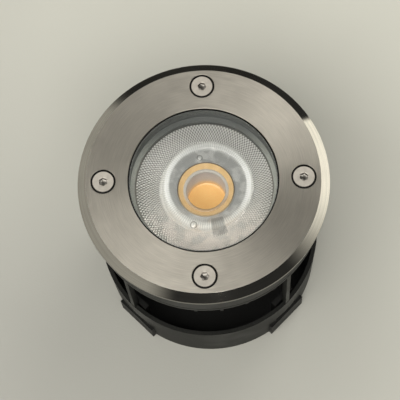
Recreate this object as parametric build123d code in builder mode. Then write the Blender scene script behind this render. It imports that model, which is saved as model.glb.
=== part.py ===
from build123d import *
import os
from math import cos, radians, sin

os.makedirs("parts", exist_ok=True)

# An in ground well light: a sealed lamp that stands in a black burial sleeve and lifts out of it.
# Millimetres, +Z up, origin in the middle of the sleeve's underside. Heights are built up from the
# sleeve's foot to the ring's seat and then down through the lamp, and radii from the glass outwards.

# ---------------------------------------------------------------- driving dimensions

hexagon_sides = 6

# Gaps
fit_gap = 0.05  # beside threads, seals and screws
slip_gap = 0.2  # around a piece that drops into its seat
lamp_clearance = 2.0  # between the lamp's flange and the sleeve's collar

# Burial sleeve
floor_thickness = 3.0
cup_height = 38.0
cup_wall = 2.2
cup_inset = 1.2  # the cup's rim stands this far inside the collar
cup_taper = 0.8
window_height = 60.5
collar_height = 22.5
collar_wall = 3.0
lip_height = 2.4
lip_groove_height = 0.9
lip_groove_depth = 0.6
rib_count = 4
rib_angle = 45.0
rib_width = 2.8
rib_depth = 3.0
rib_inset = 0.2  # a rib stands this far inside the cup's rim
rib_foot_height = 2.5
rib_root = 1.5  # how far a rib reaches up into the collar
pad_width = 25.4
pad_height = 15.0
pad_depth = 4.6
pad_proud = 0.9
slot_width = 16.0
slot_height = 5.6
tongue_width = 14.0
tongue_depth = 2.8
catch_height = 4.6
catch_reach = 1.7
conduit_radius = 12.7
fixing_hole_radius = 2.75
fixing_circle_radius = 26.0
fixing_count = 4
drain_hole_radius = 3.2
drain_circle_radius = 26.0
drain_count = 8

# Front ring and its M6 countersunk screws
ring_thickness = 5.0
ring_overhang = 2.5
ring_bevel_width = 4.6
ring_bevel_drop = 3.25
ring_edge_break = 0.3
aperture_radius = 39.0
screw_count = 4
screw_thread_radius = 3.0
screw_thread_depth = 0.55
screw_pitch = 1.0
screw_length = 16.0
screw_head_radius = 5.9
screw_head_land = 0.4
screw_recess = 0.1
screw_socket_flats = 4.0
screw_socket_depth = 2.5
screw_socket_tip = 0.8
screw_ring_clearance = 0.3
screw_hole_spare = 3.0
countersink_margin = 0.8  # the black seal fills this step around the head
countersink_angle = 90.0
seal_drop = 0.15
seal_end_gap = 0.2
boss_wall = 2.9
boss_height = 9.0

# Glass and gasket
aperture_gap = 0.75
glass_recess = 0.3
glass_chamfer = 0.5
glass_flange_width = 5.5
glass_flange_thickness = 4.0
gasket_wall = 1.1
gasket_top_thickness = 1.0
gasket_bottom_thickness = 1.5
gasket_lip_drop = 0.45
gasket_reach = 0.4  # the gasket's lower leg reaches this far short of the aperture

# Trim, lens and its holder
lens_inset = 1.5  # the lens is this much smaller than the aperture, in radius
lens_grip = 1.2
lens_flange_width = 2.5
lens_flange_thickness = 2.0
lens_height = 22.5
lens_dish = 0.5
lens_foot_radius = 12.5
lens_bow = 2.6
lens_well_radius = 9.5
lens_well_depth = 10.0
lens_well_draft = 0.9
lens_dome = 2.0
lens_air_gap = 0.5
trim_nose_drop = 3.0
trim_glass_gap = 0.3
trim_seal_gap = 0.15
trim_cone_drop = 1.6
trim_skirt_drop = 4.0
trim_skirt_wall = 3.6
holder_wall = 2.1
holder_ring_height = 3.0
holder_leg_count = 3
holder_leg_width = 12.0
holder_leg_angle = 90.0

# Light source
thermal_pad_thickness = 0.4
board_size = 20.0
board_thickness = 1.2
phosphor_radius = 7.25
phosphor_thickness = 0.5
dam_width = 1.0
dam_height = 0.6
cob_holder_radius = 20.0
cob_holder_height = 3.5
cob_window_radius = 9.5
cob_screw_offset = 3.2  # from the holder's edge to its screws
cob_screw_count = 2
cob_outlet_width = 8.0
cob_outlet_reach = 1.0
small_screw_radius = 1.5  # M3
small_head_radius = 2.5
small_head_height = 1.6
small_screw_bite = 3.0

# Lamp housing
lamp_flange_thickness = 8.0
can_wall = 4.5
chamber_wall = 3.0
deck_thickness = 4.0
driver_room = 31.0
fin_count = 24
fin_thickness = 1.8
fin_inset = 3.0
fin_start = 5.0
fin_slope = 9.0
lobe_radius = 4.8
lobe_offset = 1.5
lobe_height = 14.0
wire_hole_radius = 4.0
wire_hole_offset = 7.0

# Driver, terminal block and leads
driver_length = 60.0
driver_width = 34.0
driver_height = 20.0
driver_corner = 2.0
driver_lug_length = 8.0
driver_lug_width = 14.0
driver_lug_thickness = 3.0
driver_screw_count = 2
block_length = 24.0
block_width = 12.0
block_height = 13.0
block_gap = 4.0
block_entry_radius = 1.8
block_entry_depth = 5.0
block_pole_pitch = 8.0
block_pole_count = 3
lead_radius = 0.8
lead_spacing = 3.2
lead_bend = 4.0
lead_rise = 1.8
lead_loop_drop = 5.2
supply_spacing = 12.0
supply_inset = 5.0

# Rear cover
cover_thickness = 6.0
cover_spigot_height = 3.0
cover_spigot_wall = 3.0
cover_edge_break = 1.0
cover_screw_radius = 2.0  # M4
cover_screw_clearance = 0.25
cover_screw_bite = 10.0
cover_screw_spare = 1.0
cover_head_radius = 3.5
cover_head_height = 4.0
cover_socket_flats = 3.0
cover_socket_depth = 2.0
seal_groove_depth = 1.4
seal_groove_margin = 0.5

# Cable gland, M20
gland_thread_radius = 10.0
gland_thread_spare = 2.0
gland_flats = 24.0
gland_hex_height = 5.0
gland_ring_thickness = 1.5
gland_ring_width = 1.7
gland_neck_length = 9.5
gland_bore_radius = 6.5
gland_bush_radius = 8.0
gland_bush_seat = 9.0
gland_bush_overhang = 5.0
gland_nut_gap = 1.5
gland_nut_height = 16.0
gland_nut_bore_radius = 6.0
gland_nut_dome = 5.0
cable_radius = 4.1

# ---------------------------------------------------------------- radii, from the glass outwards

glass_plug_radius = aperture_radius - aperture_gap
glass_flange_radius = aperture_radius + glass_flange_width
gasket_inner_radius = aperture_radius - gasket_reach
pocket_radius = glass_flange_radius + gasket_wall
screw_hole_radius = screw_thread_radius + fit_gap
boss_radius = screw_hole_radius + boss_wall
screw_circle_radius = pocket_radius + boss_radius
countersink_radius = screw_head_radius + countersink_margin
lamp_flange_radius = screw_circle_radius + boss_radius
collar_inner_radius = lamp_flange_radius + lamp_clearance
collar_radius = collar_inner_radius + collar_wall
ring_radius = collar_radius + ring_overhang
cup_top_radius = collar_radius - cup_inset
cup_bottom_radius = cup_top_radius - cup_taper

lens_radius = aperture_radius - lens_inset
lens_bowl_radius = lens_radius - lens_flange_width
trim_nose_radius = lens_radius - lens_grip
trim_top_radius = gasket_inner_radius - trim_seal_gap
chamber_radius = lens_radius + slip_gap + trim_skirt_wall + slip_gap
lens_bore_radius = lens_radius + slip_gap + slip_gap
can_radius = chamber_radius + can_wall
driver_chamber_radius = can_radius - chamber_wall
fin_radius = lamp_flange_radius - fin_inset
lobe_circle_radius = can_radius + lobe_offset
wire_hole_distance = cob_holder_radius + wire_hole_offset

# ---------------------------------------------------------------- heights

collar_bottom = cup_height + window_height
seat_height = collar_bottom + collar_height  # the ring's underside rests here, on the collar
ring_top = seat_height + ring_thickness
glass_top = ring_top - glass_recess
glass_flange_top = seat_height - gasket_top_thickness
glass_bottom = glass_flange_top - glass_flange_thickness
pocket_floor = glass_bottom - gasket_bottom_thickness
trim_top = glass_bottom - trim_glass_gap
lens_top = pocket_floor - trim_nose_drop
trim_bottom = lens_top - trim_skirt_drop
holder_top = lens_top - lens_flange_thickness
lens_bottom = lens_top - lens_height
cob_holder_top = lens_bottom - lens_air_gap
deck_top = cob_holder_top - cob_holder_height
deck_bottom = deck_top - deck_thickness
housing_bottom = deck_bottom - driver_room
lamp_flange_bottom = seat_height - lamp_flange_thickness
cover_bottom = housing_bottom - cover_thickness
gland_hex_top = cover_bottom - gland_ring_thickness
gland_hex_bottom = gland_hex_top - gland_hex_height
gland_neck_bottom = gland_hex_bottom - gland_neck_length
gland_nut_top = gland_hex_bottom - gland_nut_gap
gland_nut_bottom = gland_nut_top - gland_nut_height

# ---------------------------------------------------------------- angles and helpers

screw_angles = [turn * 360 / screw_count for turn in range(screw_count)]
rib_angles = [rib_angle + turn * 360 / rib_count for turn in range(rib_count)]


def point_at(radius, angle):
    """The point at this radius and angle about the lamp's axis, at height 0."""
    return (radius * cos(radians(angle)), radius * sin(radians(angle)), 0)


def radial_plane(angle):
    """The upright plane through the lamp's axis: sketch X runs outwards and sketch Y runs up."""
    return Plane(
        origin=(0, 0, 0),
        x_dir=(cos(radians(angle)), sin(radians(angle)), 0),
        z_dir=(sin(radians(angle)), -cos(radians(angle)), 0),
    )


def upright_plane(point):
    """An upright plane whose sketch Y axis is the upright line through this point."""
    return Plane(origin=point, x_dir=(1, 0, 0), z_dir=(0, -1, 0))


def thread_points(crest, depth, pitch, bottom, top):
    """The outline of a thread as rings, from its bottom up to its top: (radius, height) points."""
    turns = int((top - bottom) / pitch)
    points = [(crest - depth, bottom)]
    for turn in range(turns):
        points.append((crest, bottom + (turn + 0.5) * pitch))
        points.append((crest - depth, bottom + (turn + 1) * pitch))
    return points


# ---------------------------------------------------------------- burial sleeve

with BuildPart() as sleeve_base:
    with BuildSketch(Plane.XZ):
        with BuildLine():
            Polyline(
                (conduit_radius, 0),
                (cup_bottom_radius, 0),
                (cup_top_radius, cup_height),
                (cup_top_radius - cup_wall, cup_height),
                (cup_bottom_radius - cup_wall, floor_thickness),
                (conduit_radius, floor_thickness),
                close=True,
            )
        make_face()
    revolve(axis=Axis.Z)
    # Four flat-faced pads at the feet of the ribs
    pad_face_distance = cup_bottom_radius + pad_proud
    with BuildSketch():
        with PolarLocations(pad_face_distance - pad_depth / 2, rib_count, rib_angle):
            Rectangle(pad_depth, pad_width)
    extrude(amount=pad_height)
    # A catch slot through the wall above each pad
    with BuildSketch(Plane.XY.offset(pad_height)):
        with PolarLocations(cup_bottom_radius, rib_count, rib_angle):
            Rectangle(cup_wall + pad_depth, slot_width)
    extrude(amount=slot_height, mode=Mode.SUBTRACT)
    # Fixing holes and drain holes in the floor
    with Locations(Plane.XY.offset(floor_thickness)):
        with PolarLocations(fixing_circle_radius, fixing_count):
            Hole(fixing_hole_radius)
        with PolarLocations(drain_circle_radius, drain_count, 180 / drain_count):
            Hole(drain_hole_radius)
sleeve_base.part.label = "sleeve_base"
export_step(sleeve_base.part, "parts/sleeve_base.step")

with BuildPart() as sleeve_frame:
    # The collar, with a groove above its lower lip
    groove_radius = collar_radius - lip_groove_depth
    lip_top = collar_bottom + lip_height
    with BuildSketch(Plane.XZ):
        with BuildLine():
            Polyline(
                (collar_inner_radius, collar_bottom),
                (collar_radius, collar_bottom),
                (collar_radius, lip_top),
                (groove_radius, lip_top),
                (groove_radius, lip_top + lip_groove_height),
                (collar_radius, lip_top + lip_groove_height),
                (collar_radius, seat_height),
                (collar_inner_radius, seat_height),
                close=True,
            )
        make_face()
    revolve(axis=Axis.Z)
    # Ribs that stand on the cup's rim, each with a foot that reaches in over its tongue
    rib_outer = cup_top_radius - rib_inset
    rib_foot_top = cup_height + rib_foot_height
    tongue_outer = cup_bottom_radius - cup_wall - slip_gap
    tongue_inner = tongue_outer - tongue_depth
    for angle in rib_angles:
        with BuildSketch(radial_plane(angle)):
            with BuildLine():
                Polyline(
                    (tongue_inner, cup_height),
                    (rib_outer, cup_height),
                    (rib_outer, collar_bottom + rib_root),
                    (rib_outer - rib_depth, collar_bottom + rib_root),
                    (rib_outer - rib_depth, rib_foot_top),
                    (tongue_inner, rib_foot_top),
                    close=True,
                )
            make_face()
    extrude(amount=rib_width / 2, both=True)
    # Tongues that reach down inside the cup and catch in its slots
    catch_bottom = pad_height + (slot_height - catch_height) / 2
    for angle in rib_angles:
        with BuildSketch(radial_plane(angle)):
            with BuildLine():
                Polyline(
                    (tongue_inner, catch_bottom),
                    (tongue_outer, catch_bottom),
                    (tongue_outer + catch_reach, catch_bottom + catch_height / 2),
                    (tongue_outer + catch_reach, catch_bottom + catch_height),
                    (tongue_outer, catch_bottom + catch_height),
                    (tongue_outer, rib_foot_top),
                    (tongue_inner, rib_foot_top),
                    close=True,
                )
            make_face()
    extrude(amount=tongue_width / 2, both=True)
sleeve_frame.part.label = "sleeve_frame"
export_step(sleeve_frame.part, "parts/sleeve_frame.step")

# ---------------------------------------------------------------- front ring, screws and seals

with BuildPart() as front_ring:
    with BuildSketch(Plane.XZ):
        with BuildLine():
            Polyline(
                (aperture_radius, seat_height),
                (ring_radius, seat_height),
                (ring_radius, ring_top - ring_bevel_drop),
                (ring_radius - ring_bevel_width, ring_top),
                (aperture_radius + ring_edge_break, ring_top),
                (aperture_radius, ring_top - ring_edge_break),
                close=True,
            )
        make_face()
    revolve(axis=Axis.Z)
    with Locations(Plane.XY.offset(ring_top)):
        with PolarLocations(screw_circle_radius, screw_count):
            CounterSinkHole(
                radius=screw_thread_radius + screw_ring_clearance,
                counter_sink_radius=countersink_radius,
                counter_sink_angle=countersink_angle,
            )
front_ring.part.label = "front_ring"
export_step(front_ring.part, "parts/front_ring.step")

screw_top = ring_top - screw_recess
screw_tip = screw_top - screw_length
socket_bottom = screw_top - screw_socket_depth
head_cone_bottom = screw_top - screw_head_land - (screw_head_radius - screw_thread_radius)
seal_top = ring_top - seal_drop
seal_bottom = (
    ring_top - countersink_radius + screw_thread_radius + screw_ring_clearance + seal_end_gap
)
for number, angle in enumerate(screw_angles, 1):
    screw_foot = point_at(screw_circle_radius, angle)

    with BuildPart() as ring_screw:
        with BuildSketch(upright_plane(screw_foot)):
            with BuildLine():
                Polyline(
                    (0, screw_tip),
                    *thread_points(
                        screw_thread_radius,
                        screw_thread_depth,
                        screw_pitch,
                        screw_tip,
                        head_cone_bottom,
                    ),
                    (screw_thread_radius, head_cone_bottom),
                    (screw_head_radius, screw_top - screw_head_land),
                    (screw_head_radius, screw_top),
                    (screw_socket_flats / 2, screw_top),
                    (screw_socket_flats / 2, socket_bottom),
                    (0, socket_bottom - screw_socket_tip),
                    close=True,
                )
            make_face()
        revolve(axis=Axis(screw_foot, (0, 0, 1)))
        with BuildSketch(Plane.XY.offset(socket_bottom)):
            with Locations(screw_foot):
                RegularPolygon(
                    screw_socket_flats / 2, hexagon_sides, major_radius=False, rotation=angle
                )
        extrude(amount=screw_socket_depth, mode=Mode.SUBTRACT)
    ring_screw.part.label = f"ring_screw_{number}"
    export_step(ring_screw.part, f"parts/ring_screw_{number}.step")

    with BuildPart() as screw_seal:
        with BuildSketch(upright_plane(screw_foot)):
            with BuildLine():
                Polyline(
                    (screw_head_radius + fit_gap, seal_top),
                    (countersink_radius - seal_drop - fit_gap, seal_top),
                    (countersink_radius - (ring_top - seal_bottom) - fit_gap, seal_bottom),
                    (screw_thread_radius + fit_gap + seal_bottom - head_cone_bottom, seal_bottom),
                    (screw_head_radius + fit_gap, screw_top - screw_head_land),
                    close=True,
                )
            make_face()
        revolve(axis=Axis(screw_foot, (0, 0, 1)))
    screw_seal.part.label = f"screw_seal_{number}"
    export_step(screw_seal.part, f"parts/screw_seal_{number}.step")

# ---------------------------------------------------------------- glass, gasket, trim and lens

with BuildPart() as cover_glass:
    with BuildSketch(Plane.XZ):
        with BuildLine():
            Polyline(
                (0, glass_bottom),
                (glass_flange_radius - glass_chamfer, glass_bottom),
                (glass_flange_radius, glass_bottom + glass_chamfer),
                (glass_flange_radius, glass_flange_top),
                (glass_plug_radius, glass_flange_top),
                (glass_plug_radius, glass_top - glass_chamfer),
                (glass_plug_radius - glass_chamfer, glass_top),
                (0, glass_top),
                close=True,
            )
        make_face()
    revolve(axis=Axis.Z)
cover_glass.part.label = "cover_glass"
export_step(cover_glass.part, "parts/cover_glass.step")

with BuildPart() as glass_gasket:
    gasket_outer_radius = pocket_radius - fit_gap
    gasket_lip_top = ring_top - gasket_lip_drop
    with BuildSketch(Plane.XZ):
        with BuildLine():
            Polyline(
                (gasket_inner_radius, pocket_floor),
                (gasket_outer_radius, pocket_floor),
                (gasket_outer_radius, seat_height),
                (aperture_radius - fit_gap, seat_height),
                (aperture_radius - fit_gap, gasket_lip_top),
                (glass_plug_radius + fit_gap, gasket_lip_top),
                (glass_plug_radius + fit_gap, glass_flange_top),
                (glass_flange_radius + fit_gap, glass_flange_top),
                (glass_flange_radius + fit_gap, glass_bottom),
                (gasket_inner_radius, glass_bottom),
                close=True,
            )
        make_face()
    revolve(axis=Axis.Z)
glass_gasket.part.label = "glass_gasket"
export_step(glass_gasket.part, "parts/glass_gasket.step")

with BuildPart() as inner_trim:
    with BuildSketch(Plane.XZ):
        with BuildLine():
            Polyline(
                (trim_nose_radius, lens_top),
                (lens_radius + slip_gap, lens_top),
                (lens_radius + slip_gap, trim_bottom),
                (chamber_radius - slip_gap, trim_bottom),
                (chamber_radius - slip_gap, pocket_floor),
                (trim_top_radius, pocket_floor),
                (trim_top_radius, trim_top),
                (trim_nose_radius, trim_top - trim_cone_drop),
                close=True,
            )
        make_face()
    revolve(axis=Axis.Z)
inner_trim.part.label = "inner_trim"
export_step(inner_trim.part, "parts/inner_trim.step")

with BuildPart() as tir_lens:
    # A flanged bowl: its outer wall reflects, and the domed well takes in the light
    well_top = lens_bottom + lens_well_depth
    well_top_radius = lens_well_radius - lens_well_draft
    with BuildSketch(Plane.XZ):
        with BuildLine():
            bowl = SagittaArc(
                (lens_bowl_radius, holder_top), (lens_foot_radius, lens_bottom), lens_bow
            )
            foot = Polyline(
                bowl @ 1, (lens_well_radius, lens_bottom), (well_top_radius, well_top)
            )
            dome = RadiusArc(
                foot @ 1,
                (0, well_top - lens_dome),
                (well_top_radius**2 + lens_dome**2) / (2 * lens_dome),
            )
            Polyline(
                dome @ 1,
                (0, lens_top - lens_dish),
                (lens_bowl_radius, lens_top - lens_dish),
                (lens_bowl_radius + lens_dish, lens_top),
                (lens_radius, lens_top),
                (lens_radius, holder_top),
                bowl @ 0,
            )
        make_face()
    revolve(axis=Axis.Z)
tir_lens.part.label = "tir_lens"
export_step(tir_lens.part, "parts/tir_lens.step")

with BuildPart() as lens_holder:
    # A cage that stands on the deck: a foot ring, legs and a top ring under the lens flange
    with BuildSketch(Plane.XY.offset(deck_top)):
        Circle(lens_radius)
        Circle(lens_radius - holder_wall, mode=Mode.SUBTRACT)
    extrude(amount=holder_ring_height)
    with BuildSketch(Plane.XY.offset(holder_top - holder_ring_height)):
        Circle(lens_radius)
        Circle(lens_radius - holder_wall, mode=Mode.SUBTRACT)
    extrude(amount=holder_ring_height)
    with BuildSketch(Plane.XY.offset(deck_top)):
        with PolarLocations(lens_radius, holder_leg_count, holder_leg_angle):
            Rectangle(2 * lens_radius, holder_leg_width)
        with BuildSketch(mode=Mode.INTERSECT):
            Circle(lens_radius)
            Circle(lens_radius - holder_wall, mode=Mode.SUBTRACT)
    extrude(amount=holder_top - deck_top)
lens_holder.part.label = "lens_holder"
export_step(lens_holder.part, "parts/lens_holder.step")

# ---------------------------------------------------------------- light source

board_bottom = deck_top + thermal_pad_thickness
board_top = board_bottom + board_thickness
cob_screw_distance = cob_holder_radius - cob_screw_offset
cob_outlet_face = cob_holder_radius + cob_outlet_reach

with BuildPart() as thermal_pad:
    with BuildSketch(Plane.XY.offset(deck_top)):
        Rectangle(board_size, board_size)
    extrude(amount=thermal_pad_thickness)
thermal_pad.part.label = "thermal_pad"
export_step(thermal_pad.part, "parts/thermal_pad.step")

with BuildPart() as cob_board:
    with BuildSketch(Plane.XY.offset(board_bottom)):
        Rectangle(board_size, board_size)
    extrude(amount=board_thickness)
    with BuildSketch(Plane.XY.offset(board_top)):
        Circle(phosphor_radius + dam_width)
        Circle(phosphor_radius, mode=Mode.SUBTRACT)
    extrude(amount=dam_height)
cob_board.part.label = "cob_board"
export_step(cob_board.part, "parts/cob_board.step")

with BuildPart() as cob_phosphor:
    with BuildSketch(Plane.XY.offset(board_top)):
        Circle(phosphor_radius)
    extrude(amount=phosphor_thickness)
cob_phosphor.part.label = "cob_phosphor"
export_step(cob_phosphor.part, "parts/cob_phosphor.step")

with BuildPart() as cob_holder:
    with BuildSketch(Plane.XY.offset(deck_top)):
        Circle(cob_holder_radius)
        with Locations((0, -cob_outlet_face / 2)):
            Rectangle(cob_outlet_width, cob_outlet_face)
    extrude(amount=cob_holder_height)
    # Pocket for the board, and a window that opens upwards round the lens's foot
    with BuildSketch(Plane.XY.offset(deck_top)):
        Rectangle(board_size + 2 * slip_gap, board_size + 2 * slip_gap)
    extrude(amount=board_top - deck_top, mode=Mode.SUBTRACT)
    with BuildSketch(Plane.XZ):
        with BuildLine():
            Polyline(
                (0, board_top),
                (cob_window_radius, board_top),
                (lens_foot_radius + lens_air_gap, cob_holder_top),
                (0, cob_holder_top),
                close=True,
            )
        make_face()
    revolve(axis=Axis.Z, mode=Mode.SUBTRACT)
    with Locations(Plane.XY.offset(cob_holder_top)):
        with PolarLocations(cob_screw_distance, cob_screw_count):
            CounterBoreHole(
                radius=small_screw_radius + fit_gap,
                counter_bore_radius=small_head_radius + fit_gap,
                counter_bore_depth=small_head_height,
            )
cob_holder.part.label = "cob_holder"
export_step(cob_holder.part, "parts/cob_holder.step")

with BuildPart() as cob_holder_screws:
    small_head_bottom = cob_holder_top - small_head_height
    with BuildSketch(Plane.XY.offset(small_head_bottom)):
        with PolarLocations(cob_screw_distance, cob_screw_count):
            Circle(small_head_radius)
    extrude(amount=small_head_height)
    with BuildSketch(Plane.XY.offset(deck_top - small_screw_bite)):
        with PolarLocations(cob_screw_distance, cob_screw_count):
            Circle(small_screw_radius)
    extrude(amount=small_head_bottom - deck_top + small_screw_bite)
cob_holder_screws.part.label = "cob_holder_screws"
export_step(cob_holder_screws.part, "parts/cob_holder_screws.step")

# ---------------------------------------------------------------- lamp housing

driver_bottom = deck_bottom - driver_height
driver_screw_distance = driver_length / 2 + driver_lug_length / 2
block_middle = driver_width / 2 + block_gap + block_width / 2
block_bottom = deck_bottom - block_height

with BuildPart() as lamp_housing:
    with BuildSketch(Plane.XZ):
        with BuildLine():
            Polyline(
                (driver_chamber_radius, housing_bottom),
                (can_radius, housing_bottom),
                (can_radius, lamp_flange_bottom),
                (lamp_flange_radius, lamp_flange_bottom),
                (lamp_flange_radius, seat_height),
                (pocket_radius, seat_height),
                (pocket_radius, pocket_floor),
                (chamber_radius, pocket_floor),
                (chamber_radius, trim_bottom),
                (lens_bore_radius, trim_bottom),
                (lens_bore_radius, deck_top),
                (0, deck_top),
                (0, deck_bottom),
                (driver_chamber_radius, deck_bottom),
                close=True,
            )
        make_face()
    revolve(axis=Axis.Z)
    # Bosses under the flange for the ring screws
    with BuildSketch(Plane.XY.offset(lamp_flange_bottom - boss_height)):
        with PolarLocations(screw_circle_radius, screw_count):
            Circle(boss_radius)
        Circle(lens_bore_radius, mode=Mode.SUBTRACT)
    extrude(amount=boss_height)
    # Cooling fins, sloped at the foot
    fin_bottom = housing_bottom + fin_start
    for turn in range(fin_count):
        with BuildSketch(radial_plane((turn + 0.5) * 360 / fin_count)):
            with BuildLine():
                Polyline(
                    (can_radius - chamber_wall / 2, fin_bottom),
                    (can_radius, fin_bottom),
                    (fin_radius, fin_bottom + fin_slope),
                    (fin_radius, lamp_flange_bottom),
                    (can_radius - chamber_wall / 2, lamp_flange_bottom),
                    close=True,
                )
            make_face()
    extrude(amount=fin_thickness / 2, both=True)
    # Lobes at the bottom for the rear cover's screws
    with BuildSketch(Plane.XY.offset(housing_bottom)):
        with PolarLocations(lobe_circle_radius, rib_count, rib_angle):
            Circle(lobe_radius)
        Circle(driver_chamber_radius, mode=Mode.SUBTRACT)
    extrude(amount=lobe_height)
    # Blind threaded holes
    with Locations(Plane.XY.offset(seat_height)):
        with PolarLocations(screw_circle_radius, screw_count):
            Hole(screw_hole_radius, depth=seat_height - screw_tip + screw_hole_spare)
    with Locations(Plane.XY.offset(deck_top)):
        with PolarLocations(cob_screw_distance, cob_screw_count):
            Hole(small_screw_radius + fit_gap, depth=small_screw_bite)
        with Locations((0, -wire_hole_distance)):
            Hole(wire_hole_radius, depth=deck_thickness)
    with BuildSketch(Plane.XY.offset(deck_bottom)):
        with PolarLocations(driver_screw_distance, driver_screw_count):
            Circle(small_screw_radius + fit_gap)
        with Locations((0, block_middle)):
            Circle(small_screw_radius + fit_gap)
    extrude(amount=small_screw_bite, mode=Mode.SUBTRACT)
    with BuildSketch(Plane.XY.offset(housing_bottom)):
        with PolarLocations(lobe_circle_radius, rib_count, rib_angle):
            Circle(cover_screw_radius + fit_gap)
    extrude(amount=cover_screw_bite + cover_screw_spare, mode=Mode.SUBTRACT)
lamp_housing.part.label = "lamp_housing"
export_step(lamp_housing.part, "parts/lamp_housing.step")

# ---------------------------------------------------------------- driver, terminal block and leads

with BuildPart() as led_driver:
    with BuildSketch(Plane.XY.offset(driver_bottom)):
        RectangleRounded(driver_length, driver_width, driver_corner)
    extrude(amount=driver_height)
    with BuildSketch(Plane.XY.offset(deck_bottom - driver_lug_thickness)):
        Rectangle(driver_length + 2 * driver_lug_length, driver_lug_width)
        with PolarLocations(driver_screw_distance, driver_screw_count):
            Circle(small_screw_radius + fit_gap, mode=Mode.SUBTRACT)
    extrude(amount=driver_lug_thickness)
led_driver.part.label = "led_driver"
export_step(led_driver.part, "parts/led_driver.step")

with BuildPart() as driver_screws:
    lug_bottom = deck_bottom - driver_lug_thickness
    with BuildSketch(Plane.XY.offset(lug_bottom - small_head_height)):
        with PolarLocations(driver_screw_distance, driver_screw_count):
            Circle(small_head_radius)
    extrude(amount=small_head_height)
    with BuildSketch(Plane.XY.offset(lug_bottom)):
        with PolarLocations(driver_screw_distance, driver_screw_count):
            Circle(small_screw_radius)
    extrude(amount=driver_lug_thickness + small_screw_bite)
driver_screws.part.label = "driver_screws"
export_step(driver_screws.part, "parts/driver_screws.step")

with BuildPart() as terminal_block:
    with BuildSketch(Plane.XY.offset(block_bottom)):
        with Locations((0, block_middle)):
            Rectangle(block_length, block_width)
            Circle(small_screw_radius + fit_gap, mode=Mode.SUBTRACT)
    extrude(amount=block_height)
    # Wire entries in the outer face, one for each pole
    entry_face = block_middle + block_width / 2
    with BuildSketch(Plane.XZ.offset(-entry_face)):
        with Locations((0, block_bottom + block_height / 2)):
            with GridLocations(block_pole_pitch, 0, block_pole_count, 1):
                Circle(block_entry_radius)
    extrude(amount=block_entry_depth, mode=Mode.SUBTRACT)
terminal_block.part.label = "terminal_block"
export_step(terminal_block.part, "parts/terminal_block.step")

with BuildPart() as terminal_block_screw:
    with BuildSketch(Plane.XY.offset(block_bottom - small_head_height)):
        with Locations((0, block_middle)):
            Circle(small_head_radius)
    extrude(amount=small_head_height)
    with BuildSketch(Plane.XY.offset(block_bottom)):
        with Locations((0, block_middle)):
            Circle(small_screw_radius)
    extrude(amount=block_height + small_screw_bite)
terminal_block_screw.part.label = "terminal_block_screw"
export_step(terminal_block_screw.part, "parts/terminal_block_screw.step")

# Two leads run from the light source's holder through the deck to the driver's side
for name, side in (("lead_positive", 1), ("lead_negative", -1)):
    lead_x = side * lead_spacing / 2
    lead_low = deck_bottom - driver_height / 2
    with BuildPart() as lead:
        with BuildLine() as route:
            FilletPolyline(
                (lead_x, -cob_outlet_face, deck_top + lead_rise),
                (lead_x, -wire_hole_distance, deck_top + lead_rise),
                (lead_x, -wire_hole_distance, lead_low),
                (lead_x, -driver_width / 2, lead_low),
                radius=lead_bend,
            )
        with BuildSketch(Plane(origin=route.line @ 0, z_dir=route.line % 0)):
            Circle(lead_radius)
        sweep()
    lead.part.label = name
    export_step(lead.part, f"parts/{name}.step")

# Two more loop from the terminal block's underside to the driver's
for name, side in (("supply_live", 1), ("supply_neutral", -1)):
    supply_x = side * supply_spacing / 2
    loop_bottom = driver_bottom - lead_loop_drop
    supply_end = driver_width / 2 - supply_inset
    with BuildPart() as supply:
        with BuildLine() as route:
            FilletPolyline(
                (supply_x, block_middle, block_bottom),
                (supply_x, block_middle, loop_bottom),
                (supply_x, supply_end, loop_bottom),
                (supply_x, supply_end, driver_bottom),
                radius=lead_bend,
            )
        with BuildSketch(Plane(origin=route.line @ 0, z_dir=route.line % 0)):
            Circle(lead_radius)
        sweep()
    supply.part.label = name
    export_step(supply.part, f"parts/{name}.step")

# ---------------------------------------------------------------- rear cover

spigot_radius = driver_chamber_radius - slip_gap
groove_inner = driver_chamber_radius + seal_groove_margin
groove_outer = can_radius - seal_groove_margin

with BuildPart() as rear_cover:
    with BuildSketch(Plane.XZ):
        with BuildLine():
            Polyline(
                (gland_thread_radius + fit_gap, cover_bottom),
                (can_radius - cover_edge_break, cover_bottom),
                (can_radius, cover_bottom + cover_edge_break),
                (can_radius, housing_bottom),
                (groove_outer, housing_bottom),
                (groove_outer, housing_bottom - seal_groove_depth),
                (groove_inner, housing_bottom - seal_groove_depth),
                (groove_inner, housing_bottom),
                (spigot_radius, housing_bottom),
                (spigot_radius, housing_bottom + cover_spigot_height),
                (spigot_radius - cover_spigot_wall, housing_bottom + cover_spigot_height),
                (spigot_radius - cover_spigot_wall, housing_bottom),
                (gland_thread_radius + fit_gap, housing_bottom),
                close=True,
            )
        make_face()
    revolve(axis=Axis.Z)
    with BuildSketch(Plane.XY.offset(cover_bottom)):
        with PolarLocations(lobe_circle_radius, rib_count, rib_angle):
            Circle(lobe_radius)
        Circle(groove_outer, mode=Mode.SUBTRACT)
    extrude(amount=cover_thickness)
    with Locations(Plane.XY.offset(housing_bottom)):
        with PolarLocations(lobe_circle_radius, rib_count, rib_angle):
            Hole(cover_screw_radius + cover_screw_clearance)
rear_cover.part.label = "rear_cover"
export_step(rear_cover.part, "parts/rear_cover.step")

with BuildPart() as rear_cover_seal:
    with BuildSketch(Plane.XY.offset(housing_bottom - seal_groove_depth)):
        Circle(groove_outer - fit_gap)
        Circle(groove_inner + fit_gap, mode=Mode.SUBTRACT)
    extrude(amount=seal_groove_depth)
rear_cover_seal.part.label = "rear_cover_seal"
export_step(rear_cover_seal.part, "parts/rear_cover_seal.step")

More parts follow.
